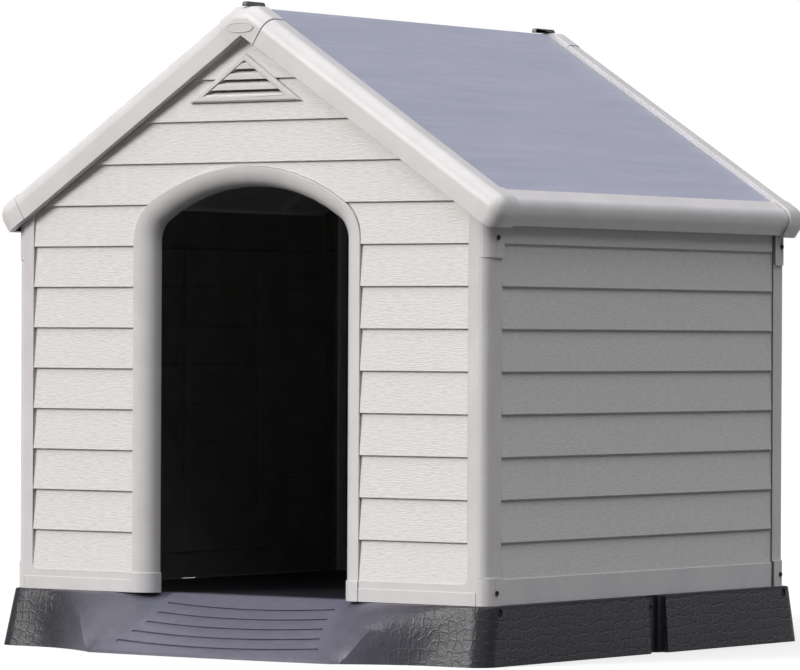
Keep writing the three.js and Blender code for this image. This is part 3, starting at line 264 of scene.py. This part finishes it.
def streaked_resin():
    """Blue-grey moulded sheet with shallow streaks along the ridge, about 2 mm wide."""
    material, tree, out, place = new_finish("streaked_roof_resin")
    streaks = add(
        tree,
        "ShaderNodeTexNoise",
        {
            "Vector": add(
                tree,
                "ShaderNodeMapping",
                {"Vector": place, "Scale": (420, 9, 420)},
            ).outputs[0],
            "Scale": 1.0,
            "Detail": 3.0,
            "Roughness": 0.55,
        },
    )
    broad = add(
        tree,
        "ShaderNodeTexNoise",
        {
            "Vector": add(
                tree,
                "ShaderNodeMapping",
                {"Vector": place, "Scale": (46, 3, 46)},
            ).outputs[0],
            "Scale": 1.0,
            "Detail": 2.0,
        },
    )
    both = add(
        tree,
        "ShaderNodeMath",
        {0: broad.outputs["Fac"], 1: 0.7, 2: streaks.outputs["Fac"]},
        operation="MULTIPLY_ADD",
    )
    bump = add(
        tree,
        "ShaderNodeBump",
        {"Height": streaks.outputs["Fac"], "Distance": 0.2 * MM, "Strength": 0.6},
    )
    colour = shades(tree, both.outputs[0], "#9799A9", "#A8AABA", 0.55, 1.15)
    shader = add(
        tree,
        "ShaderNodeBsdfPrincipled",
        {
            "Base Color": colour,
            "Roughness": 0.48,
            "IOR": 1.49,
            "Normal": bump.outputs[0],
        },
    )
    tree.links.new(shader.outputs[0], out.inputs[0])
    return material


def leather_grained_resin():
    """Dark polypropylene with a leather grain of about 2 mm and a larger rounded hide pattern,
    15 mm across with thin raised rims. Towards the ramp the pattern fades out, and the colour is
    set lighter there: painted light, a painted sheen standing in for the light on the ramp."""
    material, tree, out, place = new_finish("leather_grained_base_resin")
    grain = add(
        tree,
        "ShaderNodeTexVoronoi",
        {"Vector": place, "Scale": 480.0},
        feature="F1",
    )
    wander = add(
        tree,
        "ShaderNodeTexNoise",
        {"Vector": place, "Scale": 60.0, "Detail": 2.0},
    )
    warped = add(
        tree,
        "ShaderNodeMix",
        {0: 4 * MM, 6: place, 7: wander.outputs["Color"]},
        data_type="RGBA",
        blend_type="ADD",
    )
    rims = add(
        tree,
        "ShaderNodeTexVoronoi",
        {"Vector": warped.outputs[2], "Scale": 68.0, "Randomness": 0.55},
        feature="DISTANCE_TO_EDGE",
    )
    rim = add(
        tree,
        "ShaderNodeMapRange",
        {
            "Value": rims.outputs["Distance"],
            "From Min": 0.02,
            "From Max": 0.14,
            "To Min": 0.7,
            "To Max": 0.0,
        },
        interpolation_type="SMOOTHSTEP",
    )
    split = add(tree, "ShaderNodeSeparateXYZ", {0: place})
    across = add(tree, "ShaderNodeMath", {0: split.outputs[0]}, operation="ABSOLUTE")
    beside = add(
        tree,
        "ShaderNodeMapRange",
        {
            "Value": across.outputs[0],
            "From Min": RAMP_TOP_HALF,
            "From Max": RAMP_FOOT_HALF + LOBE_SPREAD,
        },
    )
    behind = add(
        tree,
        "ShaderNodeMapRange",
        {
            "Value": split.outputs[1],
            "From Min": HOUSE_Y - END_Y + RAMP_SETBACK,
            "From Max": HOUSE_Y - END_Y + 2 * RAMP_SETBACK,
        },
    )
    fade = add(
        tree,
        "ShaderNodeMath",
        {0: beside.outputs[0], 1: behind.outputs[0]},
        operation="MAXIMUM",
    )
    faded = add(
        tree,
        "ShaderNodeMath",
        {0: rim.outputs[0], 1: fade.outputs[0]},
        operation="MULTIPLY",
    )
    relief = add(
        tree,
        "ShaderNodeMath",
        {0: grain.outputs["Distance"], 1: 0.7, 2: faded.outputs[0]},
        operation="MULTIPLY_ADD",
    )
    bump = add(
        tree,
        "ShaderNodeBump",
        {"Height": relief.outputs[0], "Distance": 0.5 * MM, "Strength": 0.7},
    )
    # Two shades of the one base plastic: the lighter one, mixed in round the ramp where fade is
    # low, is painted sheen.
    skirt = shades(tree, wander.outputs["Fac"], "#222127", "#2A2930", 0.3, 0.7)
    ramp = shades(tree, wander.outputs["Fac"], "#62616F", "#6A6978", 0.3, 0.7)
    colour = add(
        tree,
        "ShaderNodeMix",
        {0: fade.outputs[0], 6: ramp, 7: skirt},
        data_type="RGBA",
    )
    shader = add(
        tree,
        "ShaderNodeBsdfPrincipled",
        {
            "Base Color": colour.outputs[2],
            "Roughness": 0.38,
            "IOR": 1.5,
            "Specular IOR Level": 0.4,
            "Normal": bump.outputs[0],
        },
    )
    tree.links.new(shader.outputs[0], out.inputs[0])
    return material


def blackened_steel():
    """Phosphated screw steel: black, slightly glossy, mottled at a millimetre's scale."""
    material, tree, out, place = new_finish("blackened_steel")
    mottle = add(
        tree,
        "ShaderNodeTexNoise",
        {"Vector": place, "Scale": 900.0, "Detail": 3.0},
    )
    colour = shades(tree, mottle.outputs["Fac"], "#101012", "#1E1E21", 0.3, 0.7)
    shader = add(
        tree,
        "ShaderNodeBsdfPrincipled",
        {"Base Color": colour, "Roughness": 0.38, "Metallic": 0.6},
    )
    tree.links.new(shader.outputs[0], out.inputs[0])
    return material


BOARD = wood_grained_resin()
FRAME = satin_resin("satin_wall_resin", "#CAC6C7", "#D1CECE", 0.42)
# The inside faces are the same satin plastic in a darker grey: painted shade, since the plastic is
# one colour throughout.
INSIDE_PAINTED_SHADE = satin_resin("painted_shade_wall_inside", "#76736F", "#817E7A", 0.6)
TRIM = satin_resin("satin_trim_resin", "#CBC8C8", "#D2CFCF", 0.4)
ROOF = streaked_resin()
BASE = leather_grained_resin()
CLIP = satin_resin("grey_clip_resin", "#5E5E62", "#6A6A6E", 0.4)
STEEL = blackened_steel()

# ---------------------------------------------------------------- working on shapes


def merged(node):
    """A bmesh of a solid with its triangles joined and its flat faces whole."""
    shape = bmesh.new()
    shape.from_mesh(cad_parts[node].data)
    bmesh.ops.remove_doubles(shape, verts=shape.verts, dist=0.005 * MM)
    bmesh.ops.dissolve_limit(
        shape,
        angle_limit=math.radians(0.25),
        verts=shape.verts,
        edges=shape.edges,
    )
    return shape


def baked(shape, *modifiers):
    """The shape after the modifiers, each written as its kind and settings."""
    mesh = bpy.data.meshes.new("rough")
    shape.to_mesh(mesh)
    shape.free()
    rough = bpy.data.objects.new("rough", mesh)
    bpy.context.scene.collection.objects.link(rough)
    for kind, settings in modifiers:
        modifier = rough.modifiers.new(kind, kind)
        for name, value in settings.items():
            setattr(modifier, name, value)
    depsgraph = bpy.context.evaluated_depsgraph_get()
    done = bpy.data.meshes.new_from_object(rough.evaluated_get(depsgraph))
    bpy.data.objects.remove(rough)
    result = bmesh.new()
    result.from_mesh(done)
    bpy.data.meshes.remove(done)
    bpy.data.meshes.remove(mesh)
    return result


def rounded(shape, width):
    """Edges over 40 degrees made round; a corner that strays is put back on the solid."""
    before = BVHTree.FromBMesh(shape)
    settings = {
        "width": width,
        "segments": 2,
        "limit_method": "ANGLE",
        "angle_limit": math.radians(40),
        "use_clamp_overlap": False,
        "miter_outer": "MITER_ARC",
    }
    result = baked(shape, ("BEVEL", settings))
    for vertex in result.verts:
        nearest, _, _, distance = before.find_nearest(vertex.co)
        if distance > width:
            vertex.co = nearest
    return result


def sharpened(shape, angle):
    """Rounded faces are shaded smooth, and edges over the angle stay sharp."""
    limit = math.radians(angle)
    for face in shape.faces:
        face.smooth = True
    for edge in shape.edges:
        edge.smooth = len(edge.link_faces) == 2 and edge.calc_face_angle(0) < limit


def finished(name, shape, finishes, nodes, choose=None, angle=36):
    """Makes the piece from the bmesh, gives each face its finish and stands it for nodes."""
    sharpened(shape, angle)
    for face in shape.faces:
        face.material_index = choose(face) if choose else 0
    mesh = bpy.data.meshes.new(name)
    shape.to_mesh(mesh)
    shape.free()
    for finish in finishes:
        mesh.materials.append(finish)
    piece = bpy.data.objects.new(name, mesh)
    bpy.context.scene.collection.objects.link(piece)
    weighted = piece.modifiers.new("even_faces", "WEIGHTED_NORMAL")
    weighted.keep_sharp = True
    weighted.weight = 100
    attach(piece, "root")
    if nodes:
        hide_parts(*nodes)
    return piece


# ---------------------------------------------------------------- walls, trim and roof


def end_wall_finish(outward):
    """Chooses boards, frame or inside for the faces of the front (-1) or back (1) wall."""

    def choose(face):
        centre = face.calc_center_median()
        depth = (centre.y - HOUSE_Y) * outward
        facing = face.normal.y * outward
        if abs(centre.x) > SIDE_X - POST_FACE_DEPTH and centre.x * face.normal.x > 0:
            return 1
        if depth > END_Y - END_BOARDS_DEPTH:
            return 0 if facing > 0.9 and depth < END_Y - FRAME_PROUD else 1
        return 2 if facing < 0.5 else 1

    return choose


def side_wall_finish(side):
    """The same for the right (1) or left (-1) wall."""

    def choose(face):
        out = face.calc_center_median().x * side
        facing = face.normal.x * side
        if facing > 0.9 and SIDE_X - SIDE_BOARDS_DEPTH < out < SIDE_X - FRAME_PROUD:
            return 0
        return 1 if facing > 0.2 or out > SIDE_X - SIDE_FRAME_DEPTH else 2

    return choose


def drawn_in(shape):
    """A side wall with its ends drawn in, which opens the dark seams beside the posts."""
    for vertex in shape.verts:
        along = vertex.co.y - HOUSE_Y
        if abs(along) > SIDE_WALL_END:
            vertex.co.y -= math.copysign(POST_SEAM, along)
    return shape


for end, outward in (("front", -1), ("back", 1)):
    finished(
        f"{end}_wall_moulding",
        rounded(merged(f"{end}_wall"), EDGE_ROUND),
        [BOARD, FRAME, INSIDE_PAINTED_SHADE],
        [f"{end}_wall"],
        end_wall_finish(outward),
    )
for side_name, side in (("right", 1), ("left", -1)):
    finished(
        f"{side_name}_wall_moulding",
        rounded(drawn_in(merged(f"{side_name}_wall")), EDGE_ROUND),
        [BOARD, FRAME, INSIDE_PAINTED_SHADE],
        [f"{side_name}_wall"],
        side_wall_finish(side),
    )

TRIM_NODES = ["door_surround", "right_roof_frame", "left_roof_frame", "front_vent", "back_vent"]
for end in ("front", "back"):
    TRIM_NODES.append(f"{end}_apex_cap")
    for side in ("right", "left"):
        TRIM_NODES += [f"{end}_{side}_rake", f"{end}_{side}_elbow"]
for node in TRIM_NODES:
    shape = rounded(merged(node), EDGE_ROUND)
    finished(f"{node}_moulding", shape, [TRIM], [node])
for side in ("right", "left"):
    node = f"{side}_roof_sheet"
    shape = rounded(merged(node), EDGE_ROUND)
    finished(f"{node}_moulding", shape, [ROOF], [node])
for node in ("front_ridge_clip", "back_ridge_clip"):
    shape = merged(node)
    bmesh.ops.scale(shape, vec=(CLIP_NARROWED, 1, 1), verts=shape.verts)
    finished(f"{node}_moulding", rounded(shape, EDGE_ROUND), [CLIP], [node])


def badge():
    """A blank oval plate on the front apex cap, with a raised rim round a flat field."""
    shape = bmesh.new()
    rings = []
    for share, proud in ((1, -0.5), (1, 0.9), (0.97, 1.2), (0.9, 1.2), (0.87, 0.7)):
        ring = []
        for i in range(BADGE_SIDES):
            turn = 2 * math.pi * i / BADGE_SIDES
            # a superellipse: flatter along its long sides than an ellipse
            x = BADGE_HALF_WIDTH * math.copysign(abs(math.cos(turn)) ** 0.8, math.cos(turn))
            z = BADGE_HALF_HEIGHT * math.sin(turn)
            inset = (1 - share) * BADGE_HALF_HEIGHT
            x -= math.copysign(inset, x) * abs(math.cos(turn))
            z -= inset * math.sin(turn)
            ring.append(shape.verts.new((x, CAP_FACE_Y - proud * MM, BADGE_Z + z)))
        rings.append(ring)
    for low, high in zip(rings, rings[1:]):
        for i in range(BADGE_SIDES):
            j = (i + 1) % BADGE_SIDES
            shape.faces.new((low[i], low[j], high[j], high[i]))
    shape.faces.new(rings[-1])
    shape.faces.new(list(reversed(rings[0])))
    bmesh.ops.recalc_face_normals(shape, faces=shape.faces)
    return finished("front_badge_plate", shape, [TRIM], [])


badge()

# ---------------------------------------------------------------- base


def between(start, end, share):
    return start + (end - start) * share


def ramp_forward(z):
    """Distance of the ramp's surface before the posts: straight from its lip to its top."""
    share = min(max((z - RAMP_LIP) / (BASE_HEIGHT - RAMP_LIP), 0), 1)
    return between(RAMP_REACH, -RAMP_SETBACK, share)


def ramp_half(z):
    return between(RAMP_TOP_HALF, RAMP_FOOT_HALF, max(1 - z / RAMP_FLARE_TOP, 0) ** 1.6)


def ramp_y(across, z):
    bow = RAMP_BOW * (1 - z / BASE_HEIGHT) * (1 - across**2)
    return -END_Y - ramp_forward(z) - bow


def lobe_x(z):
    return between(LOBE_FOOT_X, LOBE_TOP_X, z / BASE_HEIGHT)


def skirt_y(x, z):
    """Front face of the base beside the ramp, which swells towards the ramp."""
    near = 1 - min(max((x - lobe_x(z)) / LOBE_SPREAD, 0), 1)
    level = z / BASE_HEIGHT
    profile = between(1 - level, math.sqrt(max(1 - level * level, 0)), near * LOBE_ROUND)
    return -FRONT_TOP_Y - (FRONT_FLARE + LOBE_BULGE * near**1.6) * profile


def cheek_y(x, z):
    """The wall that turns in from the swelling to the ramp's edge."""
    edge = ramp_half(z)
    share = (x - edge) / (lobe_x(z) - edge)
    start = ramp_y(1, z)
    return between(start, skirt_y(lobe_x(z), z), 1 - (1 - share) ** CHEEK_CURVE)


def corner_arc(centre_x, centre_y, radius, facing):
    """Points round a corner of the base, from its side to its front (-1) or back (1)."""
    points = []
    for i in range(CORNER_STEPS + 1):
        turn = math.pi / 2 * i / CORNER_STEPS
        points.append(
            (centre_x + radius * math.cos(turn), centre_y + facing * radius * math.sin(turn))
        )
    return points


def front_row(z, inset, cut):
    """Right half of a level of the front piece, from the joint round to the ramp's middle."""
    side = BASE_TOP_X + SIDE_FLARE * (1 - z / BASE_HEIGHT) - inset
    wall = BASE_TOP_X - RECESS_DEPTH - inset
    radius = BASE_RADIUS - inset
    centre = side - radius
    points = [(wall, JOINT_Y), (wall, RECESS_FRONT - inset), (side, RECESS_FRONT - inset)]
    points += corner_arc(centre, skirt_y(centre, z) + inset + radius, radius, -1)
    for share in SKIRT_STEPS:
        x = between(centre, lobe_x(z), share)
        points.append((x, skirt_y(x, z) + inset))
    for share in CHEEK_STEPS:
        x = between(ramp_half(z), lobe_x(z), share)
        points.append((x, cheek_y(x, z) + inset))
    row = [(x, y, z) for x, y in points]
    fade = min(max((z - RAMP_LIP) / GROOVE_FADE, 0), max((BASE_HEIGHT - z) / GROOVE_FADE, 0), 1)
    for across in RAMP_STEPS:
        level = z - GROOVE_DROOP * fade * (1 - across**2)
        depth = cut if across <= GROOVE_END else 0
        row.append((across * ramp_half(z), ramp_y(across, level) + inset + depth, level))
    return row


def rear_row(z, inset, cut):
    """The same of the rear piece; its first point closes the step behind the front piece."""
    side = BASE_TOP_X + SIDE_FLARE * (1 - z / BASE_HEIGHT) - inset
    end = REAR_TOP_Y + REAR_FLARE * (1 - z / BASE_HEIGHT) - inset
    wall = BASE_TOP_X - RECESS_DEPTH / 2 - inset
    radius = BASE_RADIUS - inset
    seam = JOINT_Y + SEAM
    points = [(BASE_TOP_X - 2 * RECESS_DEPTH, seam), (wall, seam)]
    points += [(wall, RECESS_BACK + inset), (side, RECESS_BACK + inset)]
    points += corner_arc(side - radius, end - radius, radius, 1)
    return [(x, y, z) for x, y in points]


def base_rows():
    """Level, inset and depth of the grooves for each row, with a round top edge."""
    rows = [(level, 0, 0) for level in FOOT_LEVELS]
    mouth = GROOVE_HALF + GROOVE_SLANT
    groove = ((-mouth, 0), (-GROOVE_HALF, GROOVE_DEPTH), (GROOVE_HALF, GROOVE_DEPTH), (mouth, 0))
    for i in reversed(range(GROOVE_COUNT)):
        middle = GROOVE_TOP - i * GROOVE_PITCH
        for out, depth in groove:
            rows.append((middle + out, 0, depth))
        rows.append((middle + GROOVE_PITCH / 2, 0, 0))
    for turn in (0, math.pi / 6, math.pi / 3, math.pi / 2):
        drop, inset = EDGE_RADIUS * (1 - math.sin(turn)), EDGE_RADIUS * (1 - math.cos(turn))
        rows.append((BASE_HEIGHT - drop, inset, 0))
    return rows


def base_shell(row_at):
    """The outside of half of the base as a skin, open underneath and at the joint."""
    shape = bmesh.new()
    rows = []
    for row in base_rows():
        half = row_at(*row)
        seam = 1 if abs(half[-1][0]) < 1e-9 else 0
        whole = half + [(-x, y, z) for x, y, z in reversed(half[: len(half) - seam])]
        rows.append([shape.verts.new((x, y + HOUSE_Y, z)) for x, y, z in whole])
    for low, high in zip(rows, rows[1:]):
        for i in range(len(low) - 1):
            shape.faces.new((low[i], low[i + 1], high[i + 1], high[i]))
    top = shape.faces.new(rows[-1])
    bmesh.ops.recalc_face_normals(shape, faces=shape.faces)
    if top.normal.z < 0:
        bmesh.ops.reverse_faces(shape, faces=shape.faces)
    return shape


def cutter(name, shape):
    """A hidden object that a boolean modifier takes away."""
    mesh = bpy.data.meshes.new(name)
    shape.to_mesh(mesh)
    shape.free()
    made = bpy.data.objects.new(name, mesh)
    bpy.context.scene.collection.objects.link(made)
    return made


def head_pockets(y):
    """Round pockets for a pair of screw heads in the base's sides."""
    shape = bmesh.new()
    for side in (-1, 1):
        place = Matrix.Translation((side * (BASE_TOP_X + HEAD_HEIGHT), y, BASE_SCREW_Z))
        bmesh.ops.create_cone(
            shape,
            cap_ends=True,
            segments=20,
            radius1=POCKET_RADIUS,
            radius2=POCKET_RADIUS,
            depth=4 * HEAD_HEIGHT,
            matrix=place @ Matrix.Rotation(math.pi / 2, 4, "Y"),
        )
    return cutter("head_pockets", shape)


for node, row_at, facing in (("base_front", front_row, -1), ("base_rear", rear_row, 1)):
    pockets = head_pockets(HOUSE_Y + facing * (END_Y - BASE_SCREW_INSET))
    shape = baked(
        base_shell(row_at),
        ("SOLIDIFY", {"thickness": BASE_SKIN, "offset": -1}),
        ("BOOLEAN", {"operation": "DIFFERENCE", "object": pockets, "solver": "EXACT"}),
    )
    bpy.data.objects.remove(pockets)
    for vertex in shape.verts:
        vertex.co.z = max(vertex.co.z, 0)
    finished(f"{node}_moulding", shape, [BASE], [node], angle=31)

# ---------------------------------------------------------------- screws


def screw_shape():
    """A pan-head screw along x, its seat at the origin, as [out, radius] rings in millimetres."""
    profile = ((-14, 0.4), (-12, 2), (0, 2), (0, 4), (1.3, 4), (2.1, 3.3), (2.5, 2))
    sides = 12
    shape = bmesh.new()
    rings = []
    for out, radius in profile:
        ring = []
        for i in range(sides):
            turn = 2 * math.pi * i / sides
            ring.append((out, radius * math.cos(turn), radius * math.sin(turn)))
        rings.append([shape.verts.new([MM * v for v in p]) for p in ring])
    for low, high in zip(rings, rings[1:]):
        for i in range(sides):
            j = (i + 1) % sides
            shape.faces.new((low[i], low[j], high[j], high[i]))
    shape.faces.new(rings[-1])
    shape.faces.new(list(reversed(rings[0])))
    bmesh.ops.recalc_face_normals(shape, faces=shape.faces)
    return shape


def crossed_screw():
    """The screw with its recess: two crossed slots 4.4 mm long and 1.1 mm wide."""
    slots = []
    for wide, tall in ((4.4, 1.1), (1.1, 4.4)):
        slot = bmesh.new()
        size = Matrix.Diagonal((3 * MM, wide * MM, tall * MM, 1))
        bmesh.ops.create_cube(slot, size=1, matrix=Matrix.Translation((2.6 * MM, 0, 0)) @ size)
        slots.append(cutter("slot", slot))
    cuts = [("BOOLEAN", {"operation": "DIFFERENCE", "object": s, "solver": "EXACT"}) for s in slots]
    shape = baked(screw_shape(), *cuts)
    for slot in slots:
        bpy.data.objects.remove(slot)
    sharpened(shape, 36)
    mesh = bpy.data.meshes.new("crossed_screw")
    shape.to_mesh(mesh)
    shape.free()
    return bpy.data.objects.new("crossed_screw", mesh)


def screw_group():
    """Geometry nodes: the given screw on every point, its axis along the point's outward."""
    group = bpy.data.node_groups.new("screws_on_points", "GeometryNodeTree")
    sockets = {}
    for name, kind in (
        ("Points", "NodeSocketGeometry"),
        ("Screw", "NodeSocketObject"),
        ("Finish", "NodeSocketMaterial"),
    ):
        made = group.interface.new_socket(name, in_out="INPUT", socket_type=kind)
        sockets[name] = made.identifier
    group.interface.new_socket("Screws", in_out="OUTPUT", socket_type="NodeSocketGeometry")
    given = add(group, "NodeGroupInput").outputs
    outward = add(
        group,
        "GeometryNodeInputNamedAttribute",
        {"Name": "outward"},
        data_type="FLOAT_VECTOR",
    )
    turned = add(
        group,
        "FunctionNodeAlignRotationToVector",
        {"Vector": outward.outputs["Attribute"]},
        axis="X",
    )
    one = add(group, "GeometryNodeObjectInfo", {"Object": given["Screw"]})
    placed = add(
        group,
        "GeometryNodeInstanceOnPoints",
        {
            "Points": given["Points"],
            "Instance": one.outputs["Geometry"],
            "Rotation": turned.outputs[0],
        },
    )
    real = add(group, "GeometryNodeRealizeInstances", {0: placed.outputs[0]})
    painted = add(
        group,
        "GeometryNodeSetMaterial",
        {"Geometry": real.outputs[0], "Material": given["Finish"]},
    )
    add(group, "NodeGroupOutput", {0: painted.outputs[0]})
    return group, sockets


def screws():
    """All the screws as one piece, each on the seat of its solid."""
    nodes = sorted(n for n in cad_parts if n.endswith("screw"))
    seats = []
    for node in nodes:
        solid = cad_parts[node]
        corners = [solid.matrix_world @ v.co for v in solid.data.vertices]
        side = math.copysign(1, corners[0].x)
        out = max(abs(c.x) for c in corners) - HEAD_HEIGHT
        y = (max(c.y for c in corners) + min(c.y for c in corners)) / 2
        z = (max(c.z for c in corners) + min(c.z for c in corners)) / 2
        seats.append((side, Vector((side * out, y, z))))
    mesh = bpy.data.meshes.new("screw_seats")
    mesh.from_pydata([place for side, place in seats], [], [])
    outward = mesh.attributes.new("outward", "FLOAT_VECTOR", "POINT")
    for i, (side, place) in enumerate(seats):
        outward.data[i].vector = (side, 0, 0)
    points = bpy.data.objects.new("screw_seats", mesh)
    bpy.context.scene.collection.objects.link(points)
    group, sockets = screw_group()
    one = crossed_screw()
    modifier = points.modifiers.new("screws", "NODES")
    modifier.node_group = group
    modifier[sockets["Screw"]] = one
    modifier[sockets["Finish"]] = STEEL
    depsgraph = bpy.context.evaluated_depsgraph_get()
    done = bpy.data.meshes.new_from_object(points.evaluated_get(depsgraph))
    bpy.data.objects.remove(points)
    bpy.data.objects.remove(one)
    piece = bpy.data.objects.new("screw_set", done)
    bpy.context.scene.collection.objects.link(piece)
    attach(piece, "root")
    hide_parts(*nodes)


screws()

# ---------------------------------------------------------------- floor, light, camera


def floor_finish():
    """Pale studio floor: it shows white, takes the house's soft shadow, and sends little
    light back up under the eaves."""
    material, tree, out, place = new_finish("pale_studio_floor")
    rays = add(tree, "ShaderNodeLightPath")
    seen = add(
        tree,
        "ShaderNodeMath",
        {0: rays.outputs["Is Camera Ray"], 1: rays.outputs["Is Glossy Ray"]},
        operation="MAXIMUM",
    )
    seen = add(
        tree,
        "ShaderNodeMath",
        {0: seen.outputs[0], 1: rays.outputs["Is Transmission Ray"]},
        operation="MAXIMUM",
    )
    paper = add(tree, "ShaderNodeBsdfDiffuse", {"Color": linear("#F4F4F4")})
    glow = add(tree, "ShaderNodeEmission", {"Color": linear("#FFFFFF"), "Strength": 1.0})
    shown = add(tree, "ShaderNodeMixShader", {0: 0.6, 1: paper.outputs[0], 2: glow.outputs[0]})
    dim = add(tree, "ShaderNodeBsdfDiffuse", {"Color": linear("#4C4C4A")})
    mixed = add(
        tree,
        "ShaderNodeMixShader",
        {0: seen.outputs[0], 1: dim.outputs[0], 2: shown.outputs[0]},
    )
    tree.links.new(mixed.outputs[0], out.inputs[0])
    return material


floor = bpy.data.objects.new("floor", bpy.data.meshes.new("floor"))
corner = 40.0
floor.data.from_pydata(
    [(-corner, -corner, 0), (corner, -corner, 0), (corner, corner, 0), (-corner, corner, 0)],
    [],
    [(0, 1, 2, 3)],
)
floor.data.materials.append(floor_finish())
bpy.context.scene.collection.objects.link(floor)


def sun(name, direction, strength, spread, colour):
    """A lamp far away in the given direction, spread degrees wide."""
    lamp = bpy.data.lights.new(name, "SUN")
    lamp.energy = strength
    lamp.angle = math.radians(spread)
    lamp.color = linear(colour)[:3]
    made = bpy.data.objects.new(name, lamp)
    made.rotation_mode = "QUATERNION"
    made.rotation_quaternion = Vector(direction).to_track_quat("Z", "Y")
    bpy.context.scene.collection.objects.link(made)
    return made


sun("key_light", (-0.48, -0.80, 0.48), 2.75, 26, "#FFFDFA")
sun("top_light", (0.16, -0.10, 1.0), 2.9, 90, "#FBFCFF")

world = bpy.data.worlds.new("studio")
world.use_nodes = True
bpy.context.scene.world = world
sky = world.node_tree
sky.nodes.clear()
rays = add(sky, "ShaderNodeLightPath")
seen = add(
    sky,
    "ShaderNodeMath",
    {0: rays.outputs["Is Camera Ray"], 1: rays.outputs["Is Transmission Ray"]},
    operation="MAXIMUM",
)
plain = add(sky, "ShaderNodeBackground", {"Color": linear("#FFFFFF"), "Strength": 1.0})
fill = add(sky, "ShaderNodeBackground", {"Color": linear("#F4F6FF"), "Strength": 0.12})
both = add(
    sky,
    "ShaderNodeMixShader",
    {0: seen.outputs[0], 1: fill.outputs[0], 2: plain.outputs[0]},
)
add(sky, "ShaderNodeOutputWorld", {0: both.outputs[0]})

# The camera stands 35 degrees round to the right, 8 m off, at half the house's height.
CAMERA_PLACE = Vector((4.67590, -6.57626, 0.48186))
AZIMUTH, PITCH, ROLL = (math.radians(v) for v in (35.338, 0.035, 0.271))
FOCAL_SHARE = 5113.9 / 800  # focal length over the picture's width
ahead = Vector(
    (
        -math.sin(AZIMUTH) * math.cos(PITCH),
        math.cos(AZIMUTH) * math.cos(PITCH),
        math.sin(PITCH),
    )
)
level = Vector((math.cos(AZIMUTH), math.sin(AZIMUTH), 0))
upright = level.cross(ahead)
rightward = level * math.cos(ROLL) + upright * math.sin(ROLL)
upward = upright * math.cos(ROLL) - level * math.sin(ROLL)
turn = Matrix((rightward, upward, -ahead)).transposed()
lens = bpy.data.cameras.new("camera")
lens.sensor_width = 36
lens.lens = FOCAL_SHARE * 36
lens.clip_end = 200
camera = bpy.data.objects.new("camera", lens)
camera.matrix_world = Matrix.Translation(CAMERA_PLACE) @ turn.to_4x4()
bpy.context.scene.collection.objects.link(camera)
bpy.context.scene.camera = camera
bpy.context.scene.view_settings.view_transform = "Standard"
